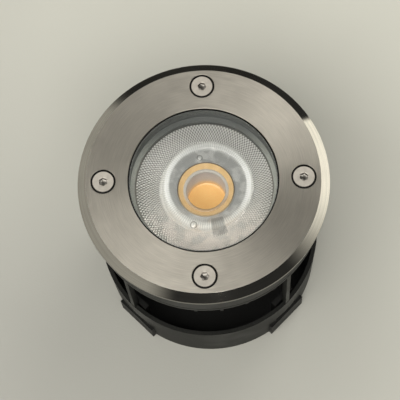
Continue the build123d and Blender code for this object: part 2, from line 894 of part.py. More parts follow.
with BuildPart() as rear_cover_screws:
    with BuildSketch(Plane.XY.offset(cover_bottom - cover_head_height)):
        with PolarLocations(lobe_circle_radius, rib_count, rib_angle):
            Circle(cover_head_radius)
    extrude(amount=cover_head_height)
    with BuildSketch(Plane.XY.offset(cover_bottom)):
        with PolarLocations(lobe_circle_radius, rib_count, rib_angle):
            Circle(cover_screw_radius)
    extrude(amount=cover_thickness + cover_screw_bite)
    with BuildSketch(Plane.XY.offset(cover_bottom - cover_head_height)):
        with PolarLocations(lobe_circle_radius, rib_count, rib_angle):
            RegularPolygon(cover_socket_flats / 2, hexagon_sides, major_radius=False)
    extrude(amount=cover_socket_depth, mode=Mode.SUBTRACT)
rear_cover_screws.part.label = "rear_cover_screws"
export_step(rear_cover_screws.part, "parts/rear_cover_screws.step")

# ---------------------------------------------------------------- cable gland

bush_top = gland_neck_bottom + gland_bush_seat
bush_bottom = gland_neck_bottom - gland_bush_overhang

with BuildPart() as gland_body:
    with BuildSketch(Plane.XZ):
        with BuildLine():
            Polyline(
                (gland_bush_radius + fit_gap, gland_neck_bottom),
                (gland_thread_radius, gland_neck_bottom),
                (gland_thread_radius, housing_bottom + gland_thread_spare),
                (gland_bore_radius, housing_bottom + gland_thread_spare),
                (gland_bore_radius, bush_top),
                (gland_bush_radius + fit_gap, bush_top),
                close=True,
            )
        make_face()
    revolve(axis=Axis.Z)
    with BuildSketch(Plane.XY.offset(gland_hex_bottom)):
        RegularPolygon(gland_flats / 2, hexagon_sides, major_radius=False)
        Circle(gland_thread_radius, mode=Mode.SUBTRACT)
    extrude(amount=gland_hex_height)
gland_body.part.label = "gland_body"
export_step(gland_body.part, "parts/gland_body.step")

with BuildPart() as gland_o_ring:
    with BuildSketch(Plane.XY.offset(gland_hex_top)):
        Circle(gland_thread_radius + fit_gap + gland_ring_width)
        Circle(gland_thread_radius + fit_gap, mode=Mode.SUBTRACT)
    extrude(amount=gland_ring_thickness)
gland_o_ring.part.label = "gland_o_ring"
export_step(gland_o_ring.part, "parts/gland_o_ring.step")

with BuildPart() as gland_bush:
    with BuildSketch(Plane.XY.offset(bush_bottom)):
        Circle(gland_bush_radius)
        Circle(cable_radius, mode=Mode.SUBTRACT)
    extrude(amount=bush_top - bush_bottom)
gland_bush.part.label = "gland_bush"
export_step(gland_bush.part, "parts/gland_bush.step")

with BuildPart() as gland_nut:
    # A domed nut: hexagonal above, rounded below, stepped inside around neck and bush
    nut_corner_radius = gland_flats / 2 / cos(radians(180 / hexagon_sides))
    with BuildSketch(Plane.XY.offset(gland_nut_bottom)):
        RegularPolygon(gland_flats / 2, hexagon_sides, major_radius=False)
    extrude(amount=gland_nut_height)
    with BuildSketch(Plane.XZ):
        with BuildLine():
            Polyline(
                (0, gland_nut_bottom),
                (gland_bush_radius, gland_nut_bottom),
                (nut_corner_radius, gland_nut_bottom + gland_nut_dome),
                (nut_corner_radius, gland_nut_top),
                (0, gland_nut_top),
                close=True,
            )
        make_face()
    revolve(axis=Axis.Z, mode=Mode.INTERSECT)
    with BuildSketch(Plane.XZ):
        with BuildLine():
            Polyline(
                (0, gland_nut_bottom),
                (gland_nut_bore_radius, gland_nut_bottom),
                (gland_nut_bore_radius, bush_bottom),
                (gland_bush_radius + fit_gap, bush_bottom),
                (gland_bush_radius + fit_gap, gland_neck_bottom - fit_gap),
                (gland_thread_radius + fit_gap, gland_neck_bottom - fit_gap),
                (gland_thread_radius + fit_gap, gland_nut_top),
                (0, gland_nut_top),
                close=True,
            )
        make_face()
    revolve(axis=Axis.Z, mode=Mode.SUBTRACT)
gland_nut.part.label = "gland_nut"
export_step(gland_nut.part, "parts/gland_nut.step")

print(f"ring {2 * ring_radius:.1f} mm across, {ring_top:.1f} mm high")
print(f"screws on a circle of radius {screw_circle_radius:.2f}, ribs out to {rib_outer:.2f}")
print(f"lens top at {lens_top:.1f}, deck at {deck_top:.1f}, gland nut down to {gland_nut_bottom:.1f}")
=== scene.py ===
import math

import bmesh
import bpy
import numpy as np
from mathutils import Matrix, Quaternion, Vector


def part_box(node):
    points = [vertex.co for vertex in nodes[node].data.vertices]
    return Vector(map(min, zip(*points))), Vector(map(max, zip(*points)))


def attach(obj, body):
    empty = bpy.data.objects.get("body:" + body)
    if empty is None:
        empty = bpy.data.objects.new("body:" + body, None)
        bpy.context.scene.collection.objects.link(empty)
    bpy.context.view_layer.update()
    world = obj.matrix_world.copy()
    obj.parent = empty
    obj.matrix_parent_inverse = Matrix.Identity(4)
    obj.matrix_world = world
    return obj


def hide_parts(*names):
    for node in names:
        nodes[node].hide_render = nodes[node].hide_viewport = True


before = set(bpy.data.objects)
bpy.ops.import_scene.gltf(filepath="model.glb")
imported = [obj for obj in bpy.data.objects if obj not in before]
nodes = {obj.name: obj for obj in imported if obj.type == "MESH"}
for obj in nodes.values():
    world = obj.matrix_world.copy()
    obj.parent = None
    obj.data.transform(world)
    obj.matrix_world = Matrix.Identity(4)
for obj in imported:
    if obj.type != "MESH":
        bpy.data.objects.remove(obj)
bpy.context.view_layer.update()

# %% [markdown]
# # An in ground well light, dressed for its portrait
#
# The light is a steel ring over a thick glass, a beaded lens behind the glass, and a black sleeve
# that is buried in the ground. The solids come from the frame, at their real size, in metres. This
# script gives them their finish, and builds again, with rounder edges and finer detail, the pieces
# that an eye falls on first: the ring, its screws, the glass and the lens.
#
# The lamp's own measures are in millimetres until they become vertices, because that is how such
# a lamp is drawn. The camera and the lights are placed in metres, as Blender counts.

MM = 0.001
TURN = 2 * math.pi


def extent(node):
    """The lowest and highest corner of a solid, in millimetres."""
    low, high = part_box(node)
    return low / MM, high / MM


ring_low, ring_high = extent("front_ring")
glass_low, glass_high = extent("cover_glass")
lens_low, lens_high = extent("tir_lens")
ring_radius, ring_top, ring_seat = ring_high.x, ring_high.z, ring_low.z
print("ring radius %.1f, top %.1f, seat %.1f" % (ring_radius, ring_top, ring_seat))
print("lens radius %.1f, top %.1f, foot %.1f" % (lens_high.x, lens_high.z, lens_low.z))

# %% [markdown]
# ## The camera
#
# The camera comes first, because every later choice is judged through it. It stands about 70
# degrees above the ground and leans a little to one side. A long lens at three quarters of a
# metre gives the slight narrowing towards the sleeve's foot.

# %% Camera
camera_place = Vector((0.0230, -0.2483, 0.8333))
camera_target = Vector((-0.0018, -0.0113, 0.1260))
camera_roll = math.radians(-7.12)
camera_focal_length = 131.7
sensor_width = 36.0

camera_data = bpy.data.cameras.new("camera")
camera_data.sensor_width = sensor_width
camera_data.lens = camera_focal_length
camera = bpy.data.objects.new("camera", camera_data)
bpy.context.scene.collection.objects.link(camera)
camera.location = camera_place
camera.rotation_mode = "QUATERNION"
looking = (camera_target - camera_place).to_track_quat("-Z", "Y")
camera.rotation_quaternion = looking @ Quaternion((0, 0, 1), camera_roll)
bpy.context.scene.camera = camera
distance = (camera_target - camera_place).length
print("camera %.0f mm from the ring, lens %.1f mm" % (distance / MM, camera_data.lens))

# %% [markdown]
# ## Writing shader maths as arithmetic
#
# A finish that changes over a surface is a small sum: so much for the distance from the axis, so
# much for noise. Written with node calls such a sum is unreadable. The class below wraps one output
# socket, so that `1 - mask * 0.3` adds the Math nodes itself. Colours and vectors never pass a Math
# node, which would turn them grey: they have `blend` and the Vector Math node.

# %% A wire that can be added, multiplied and mixed
class Wire:
    """One output socket of a material's nodes. Arithmetic on it adds Math nodes."""

    def __init__(self, tree, socket=None):
        self.tree = tree
        self.socket = socket

    def node(self, kind, settings=None, inputs=None, out=0):
        """Adds a node: its settings first, then its sockets' values or links."""
        made = self.tree.nodes.new("ShaderNode" + kind)
        for name, value in (settings or {}).items():
            if name == "stops":
                ramp = made.color_ramp.elements
                while len(ramp) < len(value):
                    ramp.new(0.5)
                for stop, (place, colour) in zip(ramp, value):
                    stop.position = place
                    stop.color = (*colour, 1.0)
            else:
                setattr(made, name, value)
        for name, value in (inputs or {}).items():
            if isinstance(value, Wire):
                self.tree.links.new(value.socket, made.inputs[name])
            else:
                made.inputs[name].default_value = value
        return Wire(self.tree, made.outputs[out])

    def out(self, name):
        """Another output of the same node."""
        return Wire(self.tree, self.socket.node.outputs[name])

    def maths(self, operation, first, second=0.0):
        return self.node("Math", {"operation": operation}, {0: first, 1: second})

    def __add__(self, other):
        return self.maths("ADD", self, other)

    def __sub__(self, other):
        return self.maths("SUBTRACT", self, other)

    def __rsub__(self, other):
        return self.maths("SUBTRACT", other, self)

    def __mul__(self, other):
        return self.maths("MULTIPLY", self, other)

    def __pow__(self, other):
        return self.maths("POWER", self, other)

    def __truediv__(self, other):
        return self.maths("DIVIDE", self, other)

    __radd__ = __add__
    __rmul__ = __mul__

    def ramp(self, low, high):
        """0 below low, 1 above high, and smooth between. low may be above high."""
        limits = {"Value": self, 1: low, 2: high}
        return self.node("MapRange", {"interpolation_type": "SMOOTHSTEP"}, limits)

    def blend(self, first, second):
        """From the first colour, at 0, to the second, at 1. The Mix node keeps its colours behind
        the sockets for numbers and vectors: 6 and 7 on the way in, 2 on the way out."""
        colours = {0: self, 6: first, 7: second}
        return self.node("Mix", {"data_type": "RGBA"}, colours, 2)


print("shader arithmetic is ready")

# %% [markdown]
# ## Where on the object a point lies
#
# Every solid's object sits at the origin, so Blender's Object coordinate is the place on the lamp
# in metres. From it come the distance from the lamp's axis, which is what a lathe follows, and
# noise whose grain is given as a real size. That way a finish has the same grain on a large piece
# as on a small one.

# %% Places, radii and noise in millimetres
def begin(name):
    """A new material with empty nodes. Returns the material and a wire to build with."""
    material = bpy.data.materials.new(name)
    material.use_nodes = True
    material.node_tree.nodes.clear()
    return material, Wire(material.node_tree)


def place_on_lamp(wire):
    """The place on the lamp in millimetres, as a vector."""
    spot = wire.node("TexCoord", out="Object")
    settings = {"operation": "SCALE"}
    return wire.node("VectorMath", settings, {"Vector": spot, "Scale": 1 / MM})


def parts_of(place):
    """The x, y and z of a place, as three wires."""
    split = place.node("SeparateXYZ", inputs={"Vector": place})
    return split, split.out("Y"), split.out("Z")


def distance_from_axis(place):
    x, y, _ = parts_of(place)
    return (x * x + y * y) ** 0.5


def grain(place, size, detail=2.0, roughness=0.5):
    """Noise from 0 to 1 whose lumps are about this many millimetres across."""
    sockets = {"Vector": place, "Scale": 1 / size, "Detail": detail, "Roughness": roughness}
    return place.node("TexNoise", {"noise_dimensions": "3D"}, sockets)


def relief(height, depth):
    """A bump of this depth in millimetres, for the Normal socket."""
    return height.node("Bump", inputs={"Height": height, "Distance": depth * MM}, out="Normal")


def surface(wire, **sockets):
    """A Principled surface. Underscores in a socket's name stand for spaces."""
    named = {name.replace("_", " "): value for name, value in sockets.items()}
    return wire.node("BsdfPrincipled", inputs=named)


def end(material, wire, shader):
    """Joins the finished shader to the material's output."""
    output = wire.tree.nodes.new("ShaderNodeOutputMaterial")
    wire.tree.links.new(shader.socket, output.inputs["Surface"])
    print("finish:", material.name)
    return material


print("finishes are measured in millimetres, %.0f to the metre" % (1 / MM))

# %% [markdown]
# ## Turning solids of revolution
#
# Nearly every piece of this lamp was turned or moulded round one axis, so nearly every mesh here
# is an outline that is spun. An outline is a list of (radius, height, rounding). The rounding eases
# the corner, because no real edge is perfectly sharp and the thin light line along an edge is what
# makes metal look solid. A Screw modifier could spin the outline too, but a mesh that is written
# out can also be given teeth, beads and flats.

# %% Outlines and spinning
longest_easing = 0.45
on_the_axis = 1e-6


def eased(outline, steps=4):
    """Rounds the corners of a closed (radius, height, rounding) outline. A rounding takes less than
    half of a side, so that two neighbours never meet."""
    points = []
    for index, (radius, height, rounding) in enumerate(outline):
        corner = Vector((radius, height))
        before = Vector(outline[index - 1][:2]) - corner
        after = Vector(outline[(index + 1) % len(outline)][:2]) - corner
        shorter = min(before.length, after.length)
        reach = min(rounding, shorter * longest_easing)
        if reach <= 0:
            points.append(corner)
            continue
        start = corner + before.normalized() * reach
        finish = corner + after.normalized() * reach
        for step in range(steps + 1):
            t = step / steps
            curve = start * (1 - t) ** 2 + corner * (2 * t * (1 - t)) + finish * t**2
            points.append(curve)
    return [tuple(point) for point in points]


def spun(outline, steps=192, centre=(0.0, 0.0)):
    """A closed outline turned round an upright axis, as (vertices, faces) in millimetres."""
    vertices, rings, faces = [], [], []
    for radius, height in outline:
        if radius < on_the_axis:
            rings.append([len(vertices)] * steps)
            vertices.append((*centre, height))
            continue
        rings.append(list(range(len(vertices), len(vertices) + steps)))
        for step in range(steps):
            angle = TURN * step / steps
            x = centre[0] + radius * math.cos(angle)
            y = centre[1] + radius * math.sin(angle)
            vertices.append((x, y, height))
    for low, high in zip(rings, rings[1:] + rings[:1]):
        for k in range(steps):
            n = (k + 1) % steps
            corners = list(dict.fromkeys((low[k], low[n], high[n], high[k])))
            if len(corners) > 2:
                faces.append(corners)
    return vertices, faces


def shape(name, vertices, faces, sharp=35.0):
    """A mesh object from millimetres, its faces turned outwards and its flat edges kept sharp."""
    mesh = bpy.data.meshes.new(name)
    mesh.from_pydata([tuple(c * MM for c in vertex) for vertex in vertices], [], faces)
    made = bpy.data.objects.new(name, mesh)
    bpy.context.scene.collection.objects.link(made)
    tidy = bmesh.new()
    tidy.from_mesh(mesh)
    bmesh.ops.recalc_face_normals(tidy, faces=tidy.faces)
    tidy.to_mesh(mesh)
    tidy.free()
    mesh.shade_smooth()
    mesh.set_sharp_from_angle(angle=math.radians(sharp))
    return made


def piece(made, body, finishes, replaces=()):
    """Gives a mesh its finishes, its body and the solids that it stands for."""
    for finish in finishes:
        made.data.materials.append(finish)
    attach(made, body)
    if replaces:
        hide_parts(*replaces)
    print("piece: %s, %d faces, on %s" % (made.name, len(made.data.polygons), body))
    return made


print("an outline's rounding takes up to %.0f%% of a side" % (longest_easing * 100))

# %% [markdown]
# ## The studio
#
# Brushed steel has hardly any colour of its own: it shows the room. So the room is built with
# care. Soft lights hang high round the lamp, the widest of them in front. The ring's face is
# bright where its grooves turn one of them towards the eye, and darker in between. The two
# strongest stand in front and behind on the right, so the bright sectors lie on one diagonal.
#
# A panel's size is given as the angles that it fills when seen from the lamp, and its power is
# worked out from how bright it should look, so that a panel of brightness 1 is white in a mirror.

# %% Panels of light
studio_centre = Vector((0.0, 0.0, 0.12))
panel_reach = 2.0
DAYLIGHT = (1.0, 0.985, 0.93)


def panel(name, azimuth, elevation, half_width, half_height, brightness):
    """A light that faces the lamp. All in degrees: azimuth 0 is +X, and 90 is +Y, away from us."""
    a, e = math.radians(azimuth), math.radians(elevation)
    away = Vector((math.cos(a) * math.cos(e), math.sin(a) * math.cos(e), math.sin(e)))
    data = bpy.data.lights.new(name, "AREA")
    data.shape = "RECTANGLE"
    data.size = 2 * panel_reach * math.tan(math.radians(half_width * math.cos(e)))
    data.size_y = 2 * panel_reach * math.tan(math.radians(half_height))
    data.energy = brightness * math.pi * data.size * data.size_y
    data.color = DAYLIGHT
    light = bpy.data.objects.new(name, data)
    bpy.context.scene.collection.objects.link(light)
    light.location = studio_centre + away * panel_reach
    light.rotation_euler = away.to_track_quat("Z", "Y").to_euler()
    light.visible_camera = False
    print("light: %s, %.2f by %.2f m, %.0f W" % (name, data.size, data.size_y, data.energy))


panel("window_top_right", 58, 46, 14, 13, 3.3)
panel("softbox_front", 248, 58, 50, 17, 4.6)
panel("softbox_left", 175, 50, 16, 9, 1.9)
panel("softbox_right", 318, 60, 15, 13, 2.8)
panel("wall_behind", 125, 52, 25, 8, 1.2)

# %% [markdown]
# The bevel is nearly a mirror, and it looks low across the room. There the room is painted by
# direction, so that the light fades softly: a bright window on the right that ends sharply at its
# frame and softly behind its curtain, and a grey wall on the left. All else is dim.

# %% The walls of the room
window_brightness = 1.27
wall_share = 0.29
WINDOW = (1.0, 0.98, 0.88)
DIM = (0.022, 0.022, 0.021)
# Each edge is two angles in degrees: where it begins to show, and where it shows fully.
horizon = (-2, 1)
window_curtain_side = (-36, 18)
window_frame_side = (49, 46.5)
window_top = (38, 32)
window_slant = 0.25
wall_back_side = (-64, -52)
wall_front_side = (70, 48)
wall_top = (39, 33)

world = bpy.data.worlds.new("room")
world.use_nodes = True
bpy.context.scene.world = world
world.node_tree.nodes.clear()
room = Wire(world.node_tree)
towards_x, towards_y, towards_z = parts_of(room.node("TexCoord", out="Generated"))
to_degrees = 360 / TURN
from_right = room.maths("ARCTAN2", towards_y, towards_x) * to_degrees
from_left = room.maths("ARCTAN2", 0 - towards_y, 0 - towards_x) * to_degrees
up = room.maths("ARCSINE", towards_z) * to_degrees
above_floor = up.ramp(*horizon)
below_window_top = (up + from_right * window_slant).ramp(*window_top)
window = from_right.ramp(*window_curtain_side) * from_right.ramp(*window_frame_side)
window = window * (above_floor * below_window_top)
grey_wall = from_left.ramp(*wall_back_side) * from_left.ramp(*wall_front_side)
grey_wall = grey_wall * (above_floor * up.ramp(*wall_top)) * wall_share
shade = (window + grey_wall).blend((*DIM, 1), (*WINDOW, 1))
backdrop = room.node("Background", inputs={"Color": shade, "Strength": window_brightness})
sky = world.node_tree.nodes.new("ShaderNodeOutputWorld")
world.node_tree.links.new(backdrop.socket, sky.inputs["Surface"])
bpy.context.scene.view_settings.view_transform = "Standard"
print("window brightness", window_brightness)

# %% [markdown]
# The lamp stands on a pale sheet. A flat colour would look like no floor at all, so the sheet has
# faint clouds and a fine tooth, like painted board. Painted light makes it paler towards the
# window, and a painted shadow makes it a little darker close in front of the lamp. It is a wide
# disc, so that a low camera still sees floor up to the horizon. Far from the lamp it is painted
# dark, as shade falls on a studio's floor outside its lights: the bevel mirrors that far floor, and
# it is dark there in the photograph.

# %% Floor
floor_radius = 4000.0
floor_steps = 96
pale_radius = 450.0
dark_radius = 1400.0
slope_reach = 260.0
SHEET_PALE = (0.725, 0.72, 0.65)
SHEET_SHADED = (0.475, 0.472, 0.437)
SHEET_PAINTED_SHADOW = (0.05, 0.05, 0.05)
SHEET_PAINTED_FAR_SHADE = (0.03, 0.03, 0.029)


def sheet_finish():
    material, wire = begin("pale_sheet")
    place = place_on_lamp(wire)
    across, depth, _ = parts_of(place)
    from_lamp = distance_from_axis(place)
    # Painted light: the sheet is paler towards the window.
    painted_window_light = (depth + across * 0.75).ramp(-slope_reach, slope_reach)
    window_light_and_cloud = painted_window_light + (grain(place, 160.0, 3.0) - 0.5) * 0.25
    tone = window_light_and_cloud.blend((*SHEET_SHADED, 1), (*SHEET_PALE, 1))
    # Painted shadow: the sheet is a little darker close in front of the lamp.
    painted_shadow_in_front = from_lamp.ramp(165.0, 60.0) * depth.ramp(50.0, -40.0) * 0.17
    tone = painted_shadow_in_front.blend(tone, (*SHEET_PAINTED_SHADOW, 1))
    # Painted shade: far from the lamp the sheet turns dark.
    tone = from_lamp.ramp(pale_radius, dark_radius).blend(tone, (*SHEET_PAINTED_FAR_SHADE, 1))
    tooth = relief(grain(place, 1.2), 0.06)
    return end(material, wire, surface(wire, Base_Color=tone, Roughness=0.8, Normal=tooth))


rim = []
for k in range(floor_steps):
    angle = TURN * k / floor_steps
    rim.append((floor_radius * math.cos(angle), floor_radius * math.sin(angle), 0.0))
floor = shape("floor", rim, [tuple(range(floor_steps))])
floor.data.materials.append(sheet_finish())
print("floor", floor_radius * MM, "m in radius")

# %% [markdown]
# ## Steel finished on a lathe
#
# The ring's face is brushed in circles while it spins. Each groove is a thin arc, so the noise
# that makes them changes quickly along the radius and slowly along the arc. The grooves spread a
# reflection across themselves, which is what the shader's Anisotropic value does. A lathe's tangent
# runs round the axis, and that is also the tangent that Blender takes when none is given.

# %% Brushed, polished and turned steel
FACE_STEEL = (0.64, 0.60, 0.53)
BEVEL_STEEL = (0.67, 0.64, 0.575)
SIDE_STEEL_SHADED = (0.34, 0.325, 0.29)
quarter_turn = 0.25


def turned_grooves(place, spacing, along):
    """Circular grooves: this far apart across the radius, and this long round the arc."""
    radius = distance_from_axis(place)
    x, y, _ = parts_of(place)
    sockets = {"X": radius * (1 / spacing), "Y": x * (1 / along), "Z": y * (1 / along)}
    lines = place.node("CombineXYZ", inputs=sockets)
    return place.node("TexNoise", inputs={"Vector": lines, "Scale": 1.0, "Detail": 3.0})


def turned_steel(name, steel, roughness, depth, anisotropy, spacing=0.22, along=9.0):
    """Steel with grooves this deep. Their tone varies by a tenth, as light catches in them."""
    material, wire = begin(name)
    place = place_on_lamp(wire)
    grooves = turned_grooves(place, spacing, along)
    clouds = grain(place, 14.0)
    darker = [channel * 0.90 for channel in steel]
    lighter = [channel * 1.07 for channel in steel]
    colour = (grooves * 0.7 + clouds * 0.3).ramp(0.32, 0.68).blend((*darker, 1), (*lighter, 1))
    shader = surface(
        wire,
        Base_Color=colour,
        Metallic=1.0,
        Roughness=roughness * (0.74 + grooves * 0.4 + clouds * 0.12),
        Anisotropic=anisotropy,
        Anisotropic_Rotation=quarter_turn,
        Normal=relief(grooves, depth),
    )
    return end(material, wire, shader)


brushed_face = turned_steel(
    "ring_brushed_face", FACE_STEEL, roughness=0.40, depth=0.010, anisotropy=0.75
)
polished_bevel = turned_steel(
    "ring_polished_bevel",
    BEVEL_STEEL,
    roughness=0.07,
    depth=0.005,
    anisotropy=0.0,
    spacing=0.45,
    along=45.0,
)
# The side and the edges are a darker copy of the steel: painted shade.
shaded_turned_side = turned_steel(
    "ring_side_painted_shade", SIDE_STEEL_SHADED, roughness=0.35, depth=0.008, anisotropy=0.3
)

# %% [markdown]
# ## The front ring
#
# The ring is a steel disc 5 mm thick with a wide bevel and four countersunk holes. The solid has
# knife edges, so the ring is turned again here with small roundings, and the holes are cut by a
# Boolean with four turned cutters. Smooth shading would bend the light over a whole wide face, so
# extra loops close to each edge keep the flat face and the bevel straight in the shading.

# %% Ring measures and outline
aperture_radius = 39.0
bevel_width = 4.6
bevel_drop = 3.25
loop_margin = 0.5
side_rounding = 0.08
face_radius = ring_radius - bevel_width


def bevel_point(share):
    """A point on the bevel, from its lower edge, at 0, to its upper edge, at 1."""
    return (ring_radius - bevel_width * share, ring_top - bevel_drop * (1 - share), 0.0)


ring_outline = [
    (aperture_radius, ring_seat, 0.1),
    (ring_radius - loop_margin, ring_seat, 0.0),
    (ring_radius, ring_seat, 0.15),
    (ring_radius, ring_top - bevel_drop, side_rounding),
    bevel_point(0.03),
    bevel_point(0.97),
    (face_radius, ring_top, 0.02),
    (face_radius - loop_margin, ring_top, 0.0),
    (aperture_radius + loop_margin, ring_top, 0.0),
    (aperture_radius, ring_top, 0.18),
]
print("face from %.1f to %.1f mm, bevel beyond" % (aperture_radius, face_radius))

# %% Cutting the screw holes
screw_count = 4
countersink_radius = 6.7
screw_bore_radius = 3.3
cutter_margin = 1.0
first_screw_low, first_screw_high = extent("ring_screw_1")
screw_circle_radius = (first_screw_low.x + first_screw_high.x) / 2
cutter_outline = [
    (0.0, ring_top + cutter_margin),
    (countersink_radius + cutter_margin, ring_top + cutter_margin),
    (screw_bore_radius, ring_top - countersink_radius + screw_bore_radius),
    (screw_bore_radius, ring_seat - cutter_margin),
    (0.0, ring_seat - cutter_margin),
]


def cut(target, cutters):
    """Cuts the cutters out of the target's mesh and removes them."""
    for cutter in cutters:
        tool = target.modifiers.new("cut", "BOOLEAN")
        tool.object = cutter
        tool.operation = "DIFFERENCE"
        tool.solver = "EXACT"
    bpy.context.view_layer.update()
    graph = bpy.context.evaluated_depsgraph_get()
    result = bpy.data.meshes.new_from_object(target.evaluated_get(graph))
    target.modifiers.clear()
    target.data = result
    for cutter in cutters:
        bpy.data.objects.remove(cutter)


ring = shape("front_ring_turned", *spun(eased(ring_outline), 256))
cutters = []
for number in range(screw_count):
    angle = TURN * number / screw_count
    spot = (screw_circle_radius * math.cos(angle), screw_circle_radius * math.sin(angle))
    cutters.append(shape("cutter_%d" % number, *spun(cutter_outline, 64, spot)))
cut(ring, cutters)
ring.data.shade_smooth()
ring.data.set_sharp_from_angle(angle=math.radians(30))
ring_finishes = [brushed_face, polished_bevel, shaded_turned_side]
piece(ring, "lamp", ring_finishes, ["front_ring"])

# %% The face is brushed, the bevel is polished, and the edges and the side are as turned, in a darker steel that paints shade on them
edge_width = 0.03
side_edge = ring_radius - side_rounding


def ring_finish_at(away):
    """Which of the ring's finishes lies this far from the axis."""
    if away < face_radius - edge_width:
        return ring_finishes.index(brushed_face)
    if face_radius + edge_width < away < side_edge:
        return ring_finishes.index(polished_bevel)
    return ring_finishes.index(shaded_turned_side)


for polygon in ring.data.polygons:
    x, y, _ = polygon.center / MM
    polygon.material_index = ring_finish_at(math.hypot(x, y))
polished = ring_finishes.index(polished_bevel)
on_bevel = [polygon for polygon in ring.data.polygons if polygon.material_index == polished]
print("polished faces:", len(on_bevel))

# %% [markdown]
# ## The ring screws
#
# Each is a countersunk M6 screw with a hexagon socket. The head's edge is a circle and the socket
# is a hexagon, and both are sampled at the same angles, so the head's top is one clean band of
# faces between them. The thread is a true helix: its crest and root are two spirals, joined turn by
# turn, and the first and last turn are closed by flat ends. It is hidden until the screw is undone.

# %% Screw measures
head_radius = 5.9
flat_radius = 5.45
head_land = 0.4
thread_radius = 3.0
thread_depth = 0.55
thread_pitch = 1.0
thread_run_out = 0.6
tip_chamfer = 0.35
socket_flats = 4.0
socket_depth = 2.5
socket_tip = 0.9
socket_chamfer = 0.25
screw_steps = 72


def hexagon_radius(angle, flats):
    """How far the hexagon's side is from its middle, at this angle."""
    return flats / 2 / math.cos((angle % (TURN / 6)) - TURN / 12)


def screw_rings(top):
    """The head and socket as rings from the socket's tip to the shank: (radius or None, height).
    None stands for the hexagon of the socket."""
    neck = top - head_land - (head_radius - thread_radius)
    return [
        (0.0, top - socket_depth - socket_tip),
        (None, top - socket_depth),
        (None, top - socket_chamfer),
        (socket_flats / 2 + 0.5, top - 0.03),
        (flat_radius, top),
        (head_radius - 0.15, top - 0.14),
        (head_radius, top - 0.30),
        (head_radius, top - head_land),
        (thread_radius, neck),
        (thread_radius - thread_depth, neck - 0.4),
    ]


print("the socket's corners are %.2f mm out" % hexagon_radius(0.0, socket_flats))

# %% Building one screw
def helical_shank(vertices, faces, last_ring, top, tip):
    """Adds a right-hand thread from the last ring down to the tip."""
    turns = int((top - tip) / thread_pitch) - 1
    count = turns * screw_steps
    root, crest = [], []
    for k in range(count + 1):
        angle = TURN * k / screw_steps
        height = tip + thread_run_out + thread_pitch * k / screw_steps
        fade = min(1.0, k / screw_steps, (count - k) / screw_steps)
        for line, radius, rise in (
            (root, thread_radius - thread_depth, 0.0),
            (crest, thread_radius - thread_depth * (1 - fade), thread_pitch / 2),
        ):
            line.append(len(vertices))
            vertices.append((radius * math.cos(angle), radius * math.sin(angle), height + rise))
    for k in range(count):
        faces.append((root[k], root[k + 1], crest[k + 1], crest[k]))
        if k + screw_steps < count:
            above = (root[k + screw_steps + 1], root[k + screw_steps])
            faces.append((crest[k], crest[k + 1], *above))
    start = count - screw_steps
    for k in range(screw_steps):
        n = (k + 1) % screw_steps
        faces.append((crest[start + k], crest[start + k + 1], last_ring[n], last_ring[k]))
    faces.append((crest[start], root[count], crest[count]))
    bottom = len(vertices)
    vertices.append((0.0, 0.0, tip))
    foot = []
    radius = thread_radius - thread_depth - tip_chamfer
    for k in range(screw_steps):
        angle = TURN * k / screw_steps
        foot.append(len(vertices))
        vertices.append((radius * math.cos(angle), radius * math.sin(angle), tip))
    for k in range(screw_steps):
        n = (k + 1) % screw_steps
        faces.append((foot[k], foot[n], root[k + 1], root[k]))
        faces.append((bottom, foot[n], foot[k]))
    faces.append((root[0], root[screw_steps], crest[0]))


def screw_mesh(spot, twist, top, tip):
    """One screw at this spot: head and socket as rings, then the helix."""
    vertices, faces, rings = [], [], []
    for radius, height in screw_rings(top):
        ring_ids = []
        for k in range(screw_steps):
            angle = TURN * k / screw_steps
            if radius == 0.0 and k:
                ring_ids.append(ring_ids[0])
                continue
            reach = hexagon_radius(angle, socket_flats) if radius is None else radius
            ring_ids.append(len(vertices))
            vertices.append((reach * math.cos(angle), reach * math.sin(angle), height))
        rings.append(ring_ids)
    for low, high in zip(rings, rings[1:]):
        for k in range(screw_steps):
            n = (k + 1) % screw_steps
            corners = list(dict.fromkeys((low[k], low[n], high[n], high[k])))
            faces.append(corners)
    shank_top = screw_rings(top)[-1][1]
    helical_shank(vertices, faces, rings[-1], shank_top, tip)
    cosine, sine = math.cos(twist), math.sin(twist)
    placed = [
        (spot[0] + x * cosine - y * sine, spot[1] + x * sine + y * cosine, z)
        for x, y, z in vertices
    ]
    return placed, faces


print("a screw has", screw_steps, "steps round")

# %% Screw finishes
def screw_finish(name, dark, light, metal, roughness):
    """Satin steel with a fine blasted grain."""
    material, wire = begin(name)
    place = place_on_lamp(wire)
    speckle = grain(place, 0.35)
    patches = grain(place, 3.0, 1.0)
    shader = surface(
        wire,
        Base_Color=patches.ramp(0.3, 0.7).blend((*dark, 1), (*light, 1)),
        Metallic=metal,
        Roughness=roughness + (speckle - 0.5) * 0.14,
        Normal=relief(speckle, 0.004),
    )
    return end(material, wire, shader)


screw_steel = screw_finish(
    "screw_satin_steel", (0.50, 0.465, 0.415), (0.56, 0.52, 0.465), metal=0.35, roughness=0.5
)
# The socket and the rim under the head's edge are darker copies of the steel: painted shade in the
# recess and under the edge.
socket_shaded_steel = screw_finish(
    "screw_socket_steel", (0.17, 0.16, 0.145), (0.25, 0.235, 0.215), metal=0.85, roughness=0.30
)
head_rim_painted_shade = screw_finish(
    "screw_rim_grimed", (0.012, 0.010, 0.008), (0.030, 0.026, 0.021), metal=0.2, roughness=0.6
)
screw_finishes = [screw_steel, socket_shaded_steel, head_rim_painted_shade]

# %% The four screws, each turned its own way
screw_twists = (0.35, -0.20, 0.62, 0.05)
socket_reach = socket_flats / 2 + 0.2
socket_span = (0.1, 4.5)


